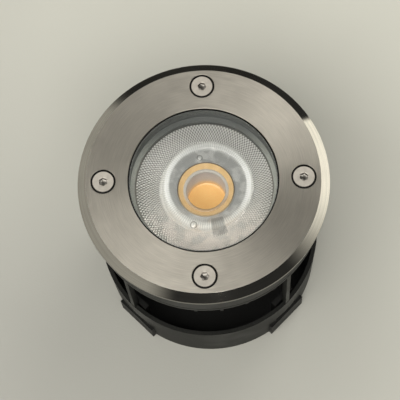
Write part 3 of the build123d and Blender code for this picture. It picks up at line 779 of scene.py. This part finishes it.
def screw_finish_at(away, depth):
    """Which of the screw's finishes lies this far from its axis and this deep under its top."""
    if away < socket_reach and socket_span[0] < depth < socket_span[1]:
        return screw_finishes.index(socket_shaded_steel)
    if away > flat_radius:
        return screw_finishes.index(head_rim_painted_shade)
    return screw_finishes.index(screw_steel)


for number, twist in enumerate(screw_twists, start=1):
    name = "ring_screw_%d" % number
    low, high = extent(name)
    spot = ((low.x + high.x) / 2, (low.y + high.y) / 2)
    screw = shape(name + "_cut", *screw_mesh(spot, twist, high.z, low.z), sharp=25)
    piece(screw, "screw_%d" % number, screw_finishes, [name])
    for polygon in screw.data.polygons:
        x, y, z = polygon.center / MM
        away = math.hypot(x - spot[0], y - spot[1])
        polygon.material_index = screw_finish_at(away, high.z - z)

# %% [markdown]
# ## Rubber, glass and the wall between
#
# The rubber pieces keep their solids. Rubber is nearly black but never a flat black: it has a soft
# sheen and dust in its pores.
#
# The glass is a stepped disc. Real refraction would need many more samples and can't be exported,
# so this glass lets light straight through and only mirrors at its surface, more at a shallow
# angle, by Fresnel's law. Its edge is ground, not polished, so there the glass is a pale green
# grey, and that ground edge is the lighter line inside the black one.

# %% Rubber
def rubber_finish():
    material, wire = begin("seal_rubber")
    place = place_on_lamp(wire)
    dust = grain(place, 0.6, 3.0)
    shader = surface(
        wire,
        Base_Color=dust.ramp(0.45, 0.8).blend((0.005, 0.0045, 0.004, 1), (0.012, 0.011, 0.010, 1)),
        Roughness=0.6 + (dust - 0.5) * 0.2,
        Specular_IOR_Level=0.12,
        Normal=relief(dust, 0.01),
    )
    return end(material, wire, shader)


def dress(names, finish):
    """Gives solids of the frame a finish, in place of the plain one that they came with."""
    for name in names:
        nodes[name].data.materials.clear()
        nodes[name].data.materials.append(finish)
    print("dressed in %s: %s" % (finish.name, ", ".join(names)))


black_rubber = rubber_finish()
rubber_nodes = ["glass_gasket", "rear_cover_seal", "gland_o_ring", "gland_bush"]
rubber_nodes += ["screw_seal_%d" % (number + 1) for number in range(screw_count)]
dress(rubber_nodes, black_rubber)

# %% Glass finishes
def clear_glass_finish():
    material, wire = begin("glass_clear")
    mirror = surface(wire, Base_Color=(0.95, 0.97, 0.96, 1), Metallic=1.0, Roughness=0.03)
    through = wire.node("BsdfTransparent", inputs={"Color": (0.988, 0.993, 0.988, 1)})
    share = wire.node("Fresnel", inputs={"IOR": 1.45})
    sockets = {0: share * 0.85, 1: through, 2: mirror}
    return end(material, wire, wire.node("MixShader", inputs=sockets))


def ground_glass_finish(name, share, dark, light):
    """Glass with a ground surface, which hides this share of what is behind it."""
    material, wire = begin(name)
    place = place_on_lamp(wire)
    tooth = grain(place, 0.25)
    tone = tooth.ramp(0.3, 0.7).blend((*dark, 1), (*light, 1))
    frost = surface(wire, Base_Color=tone, Roughness=0.45, Normal=relief(tooth, 0.01))
    through = wire.node("BsdfTransparent", inputs={"Color": (0.95, 0.97, 0.96, 1)})
    sockets = {0: share + (tooth - 0.5) * 0.1, 1: through, 2: frost}
    return end(material, wire, wire.node("MixShader", inputs=sockets))


clear_glass = clear_glass_finish()
ground_edge = ground_glass_finish(
    "glass_ground_edge", 0.5, (0.24, 0.25, 0.24), (0.30, 0.31, 0.30)
)
ground_step = ground_glass_finish(
    "glass_ground_step", 0.94, (0.085, 0.09, 0.09), (0.115, 0.12, 0.12)
)

# %% Glass
plug_radius = 38.25
flange_radius = glass_high.x
flange_top = 120.0
arris = 0.5
glass_outline = [
    (0.0, glass_low.z, 0.0),
    (flange_radius, glass_low.z, arris),
    (flange_radius, flange_top, 0.2),
    (plug_radius, flange_top, 0.0),
    (plug_radius, glass_high.z - arris, 0.05),
    (plug_radius - arris, glass_high.z, 0.05),
    (0.0, glass_high.z, 0.0),
]
glass = shape("cover_glass_ground", *spun(eased(glass_outline, 3), 256), sharp=20)
piece(glass, "lamp", [clear_glass, ground_edge], ["cover_glass"])
for polygon in glass.data.polygons:
    lies_flat = abs(polygon.normal.z) > 0.95
    polygon.material_index = 0 if lies_flat else 1
print("ground faces:", sum(polygon.material_index for polygon in glass.data.polygons))

# %% [markdown]
# Glass bends light, so under the step the eye doesn't look out into the seal's pocket: it sees the
# ground wall drawn on down to the glass's underside. A thin closed tube inside the glass stands
# for that drawn image.

# %% The ground wall under the step
step_inner = plug_radius + 0.05
step_outer = plug_radius + 0.35
step_foot = glass_low.z + 0.05
step_top = flange_top + 0.02
step_outline = [
    (step_inner, step_foot),
    (step_outer, step_foot),
    (step_outer, step_top),
    (step_inner, step_top),
]
step_wall = shape("cover_glass_step_image", *spun(step_outline, 256), sharp=20)
piece(step_wall, "lamp", [ground_step], ["cover_glass"])

# %% [markdown]
# ## The grey wall above the lens
#
# Between glass and lens stands a grey ring with a short cone. Its solid has the right shape. The
# finish is a satin coat with a fine grain. Painted shade makes it darker on the far side, which
# looks away from the window, and painted light makes it nearly white in front.

# %% Inner trim
def trim_finish():
    """Painted light makes it nearly white in front, where the window's light falls, and painted
    shade makes it dark grey at the back.
    """
    material, wire = begin("trim_grey_coat")
    place = place_on_lamp(wire)
    _, depth, _ = parts_of(place)
    fine = grain(place, 0.3)
    # Painted light and shade: from nearly white in front to dark grey at the back.
    grey = depth.ramp(4.0, 36.0).blend((0.62, 0.635, 0.60, 1), (0.13, 0.137, 0.137, 1))
    tone = (fine.ramp(0.3, 0.7) * 0.2).blend(grey, (0.05, 0.05, 0.05, 1))
    shader = surface(wire, Base_Color=tone, Roughness=0.36 + fine * 0.1, Normal=relief(fine, 0.006))
    return end(material, wire, shader)


dress(["inner_trim"], trim_finish())

# %% [markdown]
# ## The lens
#
# A lens of this kind is a clear bowl whose outer wall mirrors by total reflection. That wall is
# covered with small beads, which mix the light. Looking down through the flat top, the eye sees
# the wall lifted up close to the top, so it looks like a shallow silver dish: beads at the rim,
# then a bright band, then a smooth grey floor, and in the middle the yellow light source,
# magnified. The band lies a little off the middle, because the eye looks in at a slant.
#
# Tracing real refraction through the bowl is slow and noisy, and no exported model could hold it.
# So the dish is modelled as the eye sees it, as real relief in the space that the lens fills: one
# height for every radius and angle. NumPy works out all heights at once.
#
# Two small pins of the light source's holder and one flat solder tab shine through the floor. They
# are part of the relief too. Each gives a mask from 0 to 1, and the masks are kept with the mesh as
# attributes, so that the finish can tell beads from gaps and the tab from the floor.

# %% The dish and its bright band
rim_height = lens_high.z
dish_outer = 36.4
dish_inner = 15.2
dish_floor = rim_height - 2.2
dish_rise = 2.0
band_x, band_y = 1.8, 2.4
band_radius = 21.6
band_rise = 0.6
band_width = 2.0


def beyond_band(x, y):
    """How far outside the bright band's middle line a point lies. Inside it is below zero."""
    return np.hypot(x - band_x, y - band_y) - band_radius


def dish_base(x, y):
    """The dish without its beads: a bowl with one soft ridge, a little off its middle."""
    share = (np.hypot(x, y) - dish_inner) / (dish_outer - dish_inner)
    bowl = dish_floor + dish_rise * share**2
    return bowl + band_rise * np.exp(-((beyond_band(x, y) / band_width) ** 2))


print("the dish is %.1f mm deep" % (rim_height - dish_floor))

# %% Beads in staggered rows, and fine flutes on the band
bead_outer = 36.0
bead_inner = 22.2
bead_count = 138
bead_row = 1.15
bead_rise = 0.30
bead_half_width = 0.52
bead_fade_in = 0.6
bead_fade_out = 0.3
flute_count = 120
flute_rise = 0.04
flute_reach = 1.3 * band_width


def beads(radius, angle):
    """Round beads in staggered rows, from 0 to 1. The highest of the nearest beads counts."""
    row = (radius - bead_inner) / bead_row
    column = angle / TURN * bead_count
    best = np.zeros_like(row)
    for step in (-1, 0, 1):
        near_row = np.floor(row) + step
        stagger = 0.5 * (near_row % 2)
        across = (column - stagger) - np.round(column - stagger)
        along = row - near_row - 0.5
        best = np.maximum(best, 1 - (across / bead_half_width) ** 2 - along**2)
    inner_end = np.clip((radius - bead_inner) / bead_fade_in, 0, 1)
    outer_end = np.clip((bead_outer - radius) / bead_fade_out, 0, 1)
    return np.sqrt(np.maximum(best, 0.0)) * inner_end * outer_end


def bead_height(y):
    """The beads are lower on the near side, where the photograph hardly shows them."""
    return bead_rise * (0.4 + 0.6 * np.clip((y + 32.0) / 16.0, 0, 1))


def flutes(x, y):
    """Shallow radial flutes, strongest on the bright band."""
    near_band = np.exp(-((beyond_band(x, y) / flute_reach) ** 2))
    return np.cos(np.arctan2(y - band_y, x - band_x) * flute_count) * near_band


print(bead_count, "beads in a row,", flute_count, "flutes on the band")

# %% Pins and the solder tab
pins = [(-5.9, -19.5, 1.9), (-2.2, 17.6, 1.5)]
pin_rise = 0.8
tab_start = np.array((6.2, -15.4))
tab_end = np.array((8.1, -25.2))
tab_half_width = 3.0
tab_flare = 1.1
tab_sink = 0.15
tab_edge = 0.3
notch_depth = 0.45
notch_pitch = TURN / 6


def step_up(distance):
    """0 outside an edge, 1 inside it, with a short slope between."""
    return np.clip(distance / tab_edge + 0.5, 0, 1)


def tab(x, y):
    """1 on the solder tab, 0 beside it. It widens outwards, and its outer end is notched."""
    length = np.linalg.norm(tab_end - tab_start)
    towards = (tab_end - tab_start) / length
    along = (x - tab_start[0]) * towards[0] + (y - tab_start[1]) * towards[1]
    across = (y - tab_start[1]) * towards[0] - (x - tab_start[0]) * towards[1]
    half_width = tab_half_width + tab_flare * along / length
    notch = notch_depth * np.cos(TURN * across / notch_pitch)
    sides = step_up(half_width - np.abs(across))
    return sides * step_up(length - along + notch) * step_up(along)


def domes(x, y):
    """The round tops of the two pins, from 0 to 1."""
    height = np.zeros_like(x)
    for centre_x, centre_y, size in pins:
        away = ((x - centre_x) ** 2 + (y - centre_y) ** 2) / size**2
        height = np.maximum(height, np.sqrt(np.maximum(1 - away, 0.0)))
    return height


print("the lens shows", len(pins), "pins and one tab")

# %% Building the dish
lens_shift = 0.8
steps_per_bead = 6
floor_rows = 33
dish_thickness = 1.2
angular_steps = bead_count * steps_per_bead
angles = TURN * np.arange(angular_steps) / angular_steps


def grid_ring(x, y, heights):
    """A closed tube of rings. x, y and heights are arrays of rings by steps."""
    vertices = np.stack([x, y, heights], axis=-1).reshape(-1, 3).tolist()
    rings, steps = x.shape
    faces = []
    for i in range(rings):
        low, high = i * steps, (i + 1) % rings * steps
        for k in range(steps):
            n = (k + 1) % steps
            faces.append((low + k, low + n, high + n, high + k))
    return vertices, faces


def eccentric(radii):
    """The rings of these radii as x and y. The inner ones lie off centre, the outer one doesn't."""
    radius, angle = np.meshgrid(radii, angles, indexing="ij")
    shift = lens_shift * (dish_outer - radius) / (dish_outer - dish_inner)
    return radius * np.cos(angle) + shift, radius * np.sin(angle)


floor_radii = np.linspace(dish_inner, bead_inner, floor_rows + 1)[:-1]
bead_radii = np.arange(bead_inner, dish_outer - 0.1, bead_row / steps_per_bead)
top_radii = np.concatenate([floor_radii, bead_radii, [dish_outer]])
under_radii = np.array([dish_outer, band_radius, dish_inner])
x_top, y_top = eccentric(top_radii)
x_under, y_under = eccentric(under_radii)
beside_band = np.clip(beyond_band(x_top, y_top) - 0.4, 0, 1)
masks = {
    "bead": beads(*np.meshgrid(top_radii, angles, indexing="ij")) * beside_band,
    "flute": flutes(x_top, y_top),
    "tab": tab(x_top, y_top),
    "pin": domes(x_top, y_top),
}
top = dish_base(x_top, y_top) + masks["bead"] * bead_height(y_top)
top = top + masks["flute"] * flute_rise + masks["pin"] * pin_rise - masks["tab"] * tab_sink
under = dish_base(x_under, y_under) - dish_thickness
dish_mesh = grid_ring(
    np.concatenate([x_top, x_under]),
    np.concatenate([y_top, y_under]),
    np.concatenate([top, under]),
)
dish = shape("tir_lens_dish", *dish_mesh, sharp=80)
print("dish of", len(top_radii), "rows by", angular_steps, "steps")

# %% The masks go with the mesh
for name, values in masks.items():
    # The underside has none of the relief.
    values = np.concatenate([values, np.zeros(x_under.shape)]).ravel()
    dish.data.attributes.new(name, "FLOAT", "POINT").data.foreach_set("value", values)
print("masks:", ", ".join(masks))

# %% [markdown]
# The dish's finish follows the distance from the band: grey inside it, and nearly white on it,
# where a painted highlight lies. It is light again towards the rim, where painted shade makes dark
# gaps between the beads; painted shade also darkens the band's flutes and the pins' edges. The far
# side is greyer, by painted shade. The near side is warmer, by a painted reflection of the light
# source's yellow in the wall, and its beads hardly show.
#
# A lens gathers daylight from its whole face, and some places look brighter than any plain surface
# could. A little emission on the band, on the tops of the far beads and on the near side paints
# that
# light in: a painted highlight on the band and painted glints on the beads.

# %% Lens finishes
# Silver tones by distance from the band's centre: 0 is the dish's inner edge, 1 is its rim.
SILVER_TONES_AND_BAND_HIGHLIGHT = [
    (0.00, (0.50, 0.50, 0.50)),
    (0.12, (0.48, 0.48, 0.48)),
    (0.22, (0.50, 0.50, 0.50)),
    # The band, from 0.27 to 0.42 out: a painted highlight.
    (0.27, (0.84, 0.84, 0.83)),
    (0.33, (1.00, 1.00, 0.98)),
    (0.42, (0.96, 0.94, 0.91)),
    (0.60, (1.00, 0.97, 0.93)),
    (0.80, (0.98, 0.95, 0.91)),
    (1.00, (0.88, 0.86, 0.82)),
]


def mask_on_mesh(wire, name):
    """A number that is kept with the mesh."""
    return wire.node("Attribute", {"attribute_name": name}, out="Fac")


def silver_tone(from_band, depth, patches):
    """The wall's silver without beads or gaps, with painted shade on the far side and a painted
    reflection of the light source's yellow on the near side.
    """
    limits = {"Value": from_band, 1: dish_inner, 2: dish_outer}
    outwards = from_band.node("MapRange", inputs=limits)
    silver = outwards.node("ValToRGB", {"stops": SILVER_TONES_AND_BAND_HIGHLIGHT}, {0: outwards})
    # Painted shade: the far side is greyer.
    silver = (depth.ramp(0.0, 24.0) * 0.28).blend(silver, (0.3, 0.3, 0.3, 1))
    silver = (patches.ramp(0.5, 0.68) * 0.35).blend(silver, (1.0, 0.99, 0.98, 1))
    # Painted reflection: the near side is warmer with the light source's yellow.
    warm = depth.ramp(-6.0, -24.0) * (0.12 + patches.ramp(0.62, 0.40) * 0.4)
    return warm.blend(silver, (0.93, 0.76, 0.63, 1))


def dish_finish():
    material, wire = begin("lens_silvered_wall")
    place = place_on_lamp(wire)
    x, depth, _ = parts_of(place)
    radius = distance_from_axis(place)
    sideways, lengthways = x - band_x, depth - band_y
    from_band = (sideways * sideways + lengthways * lengthways) ** 0.5
    patches = grain(place, 7.0, 2.0, 0.6)
    bead = mask_on_mesh(wire, "bead")
    in_beads = radius.ramp(bead_inner + 0.6, bead_inner + 2.0)
    in_beads = in_beads * from_band.ramp(band_radius + 1.3, band_radius + 3.0)

    # Painted shade: dark gaps between the beads, deepest on the far side.
    gap = in_beads * bead.ramp(0.98, 0.55) * (depth.ramp(-28.0, -2.0) * 0.62 + 0.14)
    colour = gap.blend(silver_tone(from_band, depth, patches), (0.02, 0.02, 0.019, 1))
    # Painted shade in the band's flutes.
    groove = mask_on_mesh(wire, "flute").ramp(0.2, -0.8) * 0.3
    colour = groove.blend(colour, (0.25, 0.25, 0.25, 1))
    colour = (mask_on_mesh(wire, "tab") * 0.5).blend(colour, (0.20, 0.20, 0.19, 1))
    pin = mask_on_mesh(wire, "pin")
    # Painted shade round the edge of each pin.
    pin_edge_shade = pin.ramp(0.9, 0.3) * pin.ramp(0.0, 0.3) * 0.7
    colour = pin_edge_shade.blend(colour, (0.15, 0.14, 0.13, 1))

    # Painted light by emission: a highlight on the band, strongest to its sides, glints on the far
    # beads' tops, and light on the near side.
    on_band = from_band.ramp(band_radius - 1.8, band_radius - 0.6)
    on_band = on_band * from_band.ramp(band_radius + 1.8, band_radius + 0.6)
    on_band = on_band * depth.ramp(-20.0, 0.0)
    highlight_to_the_side = sideways * sideways / (from_band * from_band)
    painted_bead_glints = in_beads * bead.ramp(0.6, 1.0) * depth.ramp(-5.0, 20.0) * 0.5
    painted_near_side_light = in_beads * depth.ramp(-6.0, -20.0) * patches.ramp(0.62, 0.40) * 0.55
    gathered = on_band * (0.25 + highlight_to_the_side * 0.75) + painted_bead_glints + painted_near_side_light
    shader = surface(
        wire,
        Base_Color=colour,
        Metallic=0.2 + in_beads * 0.2,
        Roughness=0.34 - in_beads * 0.16 + (grain(place, 0.8) - 0.5) * 0.08,
        Emission_Color=gathered.blend((0, 0, 0, 1), (1.0, 0.985, 0.96, 1)),
        Emission_Strength=0.28,
    )
    return end(material, wire, shader)


def rim_finish():
    """Clear plastic with painted shade on the far side, over the dark wall, and painted light on
    the near side, over the light floor.
    """
    material, wire = begin("lens_rim_acrylic")
    place = place_on_lamp(wire)
    _, depth, _ = parts_of(place)
    marks = grain(place, 1.5)
    # Painted shade on the far side, painted light on the near side.
    grey = depth.ramp(30.0, -25.0).blend((0.11, 0.11, 0.105, 1), (0.50, 0.48, 0.45, 1))
    tone = (marks * 0.2).blend(grey, (0.2, 0.19, 0.18, 1))
    rough = 0.25 + (marks - 0.5) * 0.1
    return end(material, wire, surface(wire, Base_Color=tone, Roughness=rough, Coat_Weight=0.2))


silvered_wall = dish_finish()
rim_acrylic = rim_finish()
piece(dish, "lamp", [silvered_wall], ["tir_lens"])

# %% [markdown]
# The bowl under the dish is never seen in use, but it is what holds the lens, so it is turned as
# one closed solid: the flange on its holder, the curved wall down to the foot, and the well for the
# light source.

# %% Lens bowl
flange_under = rim_height - 2.0
flange_inner = 35.6
foot_radius = 13.2
well_radius = 10.2
bore_radius = well_radius + lens_shift + 0.6
bowl_wall = [
    (dish_outer, flange_under, 0.0),
    (31.0, rim_height - 9.3, 0.0),
    (25.5, rim_height - 15.5, 0.0),
    (19.5, rim_height - 20.0, 0.0),
    (foot_radius, lens_low.z, 0.3),
]
hollow_under_dish = [
    (bore_radius, lens_low.z, 0.2),
    (bore_radius, rim_height - 5.0, 0.0),
    (dish_inner - 0.2, dish_floor - 1.3, 0.0),
    (band_radius, dish_floor - 1.1, 0.0),
    (flange_inner - 0.3, rim_height - 1.6, 0.0),
    (flange_inner - 0.1, rim_height - 0.4, 0.2),
    (flange_inner + 0.1, rim_height, 0.2),
]
flange_side = [(lens_high.x, rim_height, 0.2), (lens_high.x, flange_under, 0.2)]
bowl_outline = eased(flange_side + bowl_wall + hollow_under_dish, 3)
bowl = shape("tir_lens_bowl", *spun(bowl_outline, 192))
piece(bowl, "lamp", [rim_acrylic], ["tir_lens"])

# %% [markdown]
# ## The light source, as the lens shows it
#
# In the middle the lens magnifies the yellow disc. Round it runs a yellow cone, which is the same
# disc mirrored in the wall of the well, then a glassy lip, and inside the lip the well itself, with
# the disc at its bottom. The well has real depth, so the disc shifts behind the lip as the eye
# moves, just as it does in the lamp. A lens gathers light from its whole face onto the disc, and
# the little emission in these finishes stands for that gathered light.

# %% Core measures
cone_outer = 14.45
cone_inner = 12.1
cone_top = dish_floor + 0.55
cone_bottom = cone_top - 2.4
well_depth = 18.0
well_bottom = cone_bottom - well_depth
lip_radius = (cone_inner + well_radius) / 2
lip_thickness = (cone_inner - well_radius) / 2
lip_rise = 0.7
core_steps = 160


def oval_outline(middle, height, thickness, rise, steps=16):
    """An upright oval that is spun into a ring. thickness and rise are its half sizes."""
    points = []
    for k in range(steps):
        angle = TURN * k / steps
        points.append((middle + thickness * math.cos(angle), height + rise * math.sin(angle)))
    return points


def core_piece(name, outline, finish):
    """A spun piece of the core. The core stands beside the lamp's axis by the lens's shift."""
    made = shape(name, *spun(outline, core_steps), sharp=50)
    made.location.x = lens_shift * MM
    return piece(made, "lamp", [finish], ["tir_lens"])


print("the well is %.0f mm deep" % well_depth)

# %% Core finishes
PHOSPHOR_GLOW = (0.82, 0.47, 0.165)
CONE_GLOW = (0.85, 0.56, 0.27)


def glow(name, dark, light, emission, strength, roughness, size):
    """A warm finish with a fine grain and a little emission: painted light that stands for what the
    lens gathers.
    """
    material, wire = begin(name)
    place = place_on_lamp(wire)
    fine = grain(place, size)
    shader = surface(
        wire,
        Base_Color=fine.ramp(0.3, 0.7).blend((*dark, 1), (*light, 1)),
        Roughness=roughness + (fine - 0.5) * 0.1,
        Coat_Weight=0.3,
        Emission_Color=(*emission, 1),
        Emission_Strength=strength,
    )
    return end(material, wire, shader)


def well_wall_finish():
    """Grey at the lip, warming to the disc's yellow at the bottom by painted light from the disc;
    its emission is painted light too.
    """
    material, wire = begin("lens_well_wall")
    _, _, height = parts_of(place_on_lamp(wire))
    warm = height.ramp(well_bottom + 8.0, well_bottom + 0.2)
    shader = surface(
        wire,
        Base_Color=warm.blend((0.45, 0.45, 0.46, 1), (0.50, 0.33, 0.16, 1)),
        Roughness=0.35,
        Emission_Color=warm.blend((0.16, 0.17, 0.19, 1), (0.56, 0.36, 0.15, 1)),
        Emission_Strength=0.45,
    )
    return end(material, wire, shader)


def warmer_in_front(name, grey, warm):
    """Clear plastic that is grey at the back and shows the light source's yellow in front, as a
    painted reflection.
    """
    material, wire = begin(name)
    place = place_on_lamp(wire)
    _, depth, _ = parts_of(place)
    marks = grain(place, 1.2)
    tone = depth.ramp(2.0, -12.0).blend((*grey, 1), (*warm, 1))
    tone = (marks * 0.15).blend(tone, (0.3, 0.27, 0.24, 1))
    shader = surface(wire, Base_Color=tone, Roughness=0.15 + marks * 0.15, Coat_Weight=0.3)
    return end(material, wire, shader)


cone_glow = glow(
    "lens_cone_yellow",
    (0.60, 0.41, 0.20),
    (0.68, 0.48, 0.26),
    CONE_GLOW,
    strength=0.32,
    roughness=0.3,
    size=4.0,
)
disc_glow = glow(
    "phosphor_disc",
    (0.64, 0.39, 0.15),
    (0.67, 0.42, 0.165),
    PHOSPHOR_GLOW,
    strength=0.56,
    roughness=0.35,
    size=2.0,
)
outline_brown = warmer_in_front("lens_core_outline", (0.20, 0.155, 0.115), (0.62, 0.46, 0.29))
lip_glass = warmer_in_front("lens_lip_glass", (0.70, 0.665, 0.63), (0.62, 0.42, 0.24))
well_wall = well_wall_finish()

# %% Core rings: a halo, a brown line, the cone and the lip
halo = oval_outline(15.35, dish_floor + 0.1, 0.35, 0.55)
brown_line = oval_outline(14.75, cone_top - 0.05, 0.3, 0.3)
lip = oval_outline(lip_radius, cone_bottom, lip_thickness, lip_rise)
cone_skin = 0.6
cone_wide = cone_outer + 0.15
cone_narrow = cone_inner - 0.4
cone = [
    (cone_wide, cone_top),
    (cone_narrow, cone_bottom),
    (cone_narrow, cone_bottom - cone_skin),
    (cone_wide, cone_top - cone_skin),
]
core_piece("lens_core_halo", halo, silvered_wall)
core_piece("lens_core_outline", brown_line, outline_brown)
core_piece("lens_core_cone", cone, cone_glow)
core_piece("lens_core_lip", lip, lip_glass)

# %% The well, and the disc at its bottom
well_skin = 0.4
well_top = cone_bottom + 0.1
disc_reach = well_radius + 0.2
wall_outline = [
    (well_radius, well_top, 0.1),
    (well_radius, well_bottom, 0.0),
    (well_radius + well_skin, well_bottom, 0.0),
    (well_radius + well_skin, well_top, 0.1),
]
disc_outline = [
    (0.0, well_bottom, 0.0),
    (well_radius * 0.7, well_bottom + 0.1, 1.0),
    (well_radius * 0.92, well_bottom + 0.4, 0.5),
    (disc_reach, well_bottom + 0.9, 0.0),
    (disc_reach, well_bottom - 0.4, 0.0),
    (0.0, well_bottom - 0.4, 0.0),
]
core_piece("lens_core_well", eased(wall_outline), well_wall)
core_piece("phosphor_magnified", eased(disc_outline), disc_glow)

# %% [markdown]
# ## The sleeve
#
# The sleeve is moulded in black plastic and has a fine grain from the mould. Black plastic is dark
# grey once light falls on it, so its colour is a few percent, with a broad soft gloss. Handling
# leaves slightly shinier patches. Inside, and on the pads under the ring's shade, painted shade
# makes it darker.

# %% Black mouldings and coats
BLACK_SHADE = (0.002, 0.002, 0.002)
pad_inner_radius = 61.0
pad_top = 15.0


def moulded_black(name, dark, light, roughness, depth, inside=0.0, pads=0.0):
    """Nearer to the axis than inside, and on the pads below this height, painted shade makes it
    darker.
    """
    material, wire = begin(name)
    place = place_on_lamp(wire)
    away = distance_from_axis(place)
    _, _, height = parts_of(place)
    fine = grain(place, 0.45, 3.0)
    rubbed = grain(place, 26.0).ramp(0.45, 0.75)
    # Painted shade inside the sleeve and on the pads under the ring.
    on_pads = away.ramp(pad_inner_radius, pad_inner_radius + 0.5) * height.ramp(pads + 0.3, pads)
    shaded = (away.ramp(inside, inside - 2.0) + on_pads) * 0.75
    tone = fine.ramp(0.35, 0.65).blend((*dark, 1), (*light, 1))
    shader = surface(
        wire,
        Base_Color=shaded.blend(tone, (*BLACK_SHADE, 1)),
        Roughness=roughness - rubbed * 0.12 + (fine - 0.5) * 0.1,
        Specular_IOR_Level=0.2,
        Normal=relief(fine, depth),
    )
    return end(material, wire, shader)


cup_black = moulded_black(
    "cup_moulded_black",
    (0.009, 0.0092, 0.008),
    (0.016, 0.0165, 0.0145),
    roughness=0.52,
    depth=0.018,
    inside=57.5,
    pads=pad_top,
)
frame_black = moulded_black(
    "frame_moulded_black",
    (0.017, 0.0175, 0.0155),
    (0.026, 0.0265, 0.024),
    roughness=0.52,
    depth=0.018,
    inside=60.0,
)
housing_coat = moulded_black(
    "housing_powder_coat",
    (0.009, 0.009, 0.009),
    (0.015, 0.015, 0.015),
    roughness=0.48,
    depth=0.035,
)
nylon_black = moulded_black(
    "nylon_moulded_black",
    (0.014, 0.014, 0.014),
    (0.022, 0.022, 0.022),
    roughness=0.38,
    depth=0.008,
)
dress(["sleeve_base"], cup_black)
dress(["sleeve_frame"], frame_black)
dress(["lamp_housing", "rear_cover"], housing_coat)
dress(["gland_body", "gland_nut", "lens_holder"], nylon_black)

# %% [markdown]
# ## What the lamp holds inside
#
# These pieces show only when the lamp is opened, and they are dressed all the same: a white driver
# case, a white terminal block, coloured leads and the light source's board and holder.

# %% Inner pieces
def satin_coat(name, dark, light, roughness=0.45, size=0.4, depth=0.01):
    """A satin coat: a fine grain of this size and depth, slight clouds and a soft gloss."""
    material, wire = begin(name)
    place = place_on_lamp(wire)
    fine = grain(place, size)
    clouds = grain(place, 9.0)
    shader = surface(
        wire,
        Base_Color=(fine * 0.5 + clouds * 0.5).ramp(0.35, 0.65).blend((*dark, 1), (*light, 1)),
        Roughness=roughness + (clouds - 0.5) * 0.12,
        Normal=relief(fine, depth),
    )
    return end(material, wire, shader)


white_case = satin_coat(
    "case_white", (0.70, 0.70, 0.67), (0.78, 0.78, 0.75), roughness=0.4, size=0.5
)
board_white = satin_coat(
    "circuit_board_white",
    (0.74, 0.74, 0.72),
    (0.82, 0.82, 0.80),
    roughness=0.5,
    size=0.2,
    depth=0.004,
)
pad_grey = satin_coat(
    "thermal_pad_grey", (0.38, 0.39, 0.41), (0.48, 0.49, 0.51), roughness=0.7
)
dress(["led_driver", "terminal_block", "cob_holder"], white_case)
dress(["cob_board"], board_white)
dress(["thermal_pad"], pad_grey)
dress(["cob_phosphor"], disc_glow)
small_screws = ["cob_holder_screws", "driver_screws", "terminal_block_screw", "rear_cover_screws"]
dress(small_screws, screw_steel)

# %% The four leads
LEAD_COLOURS = {
    "lead_positive": (0.55, 0.02, 0.02),
    "lead_negative": (0.015, 0.015, 0.015),
    "supply_live": (0.20, 0.08, 0.03),
    "supply_neutral": (0.03, 0.10, 0.42),
}
for name, colour in LEAD_COLOURS.items():
    darker = [channel * 0.8 for channel in colour]
    dress([name], satin_coat(name + "_insulation", darker, colour))
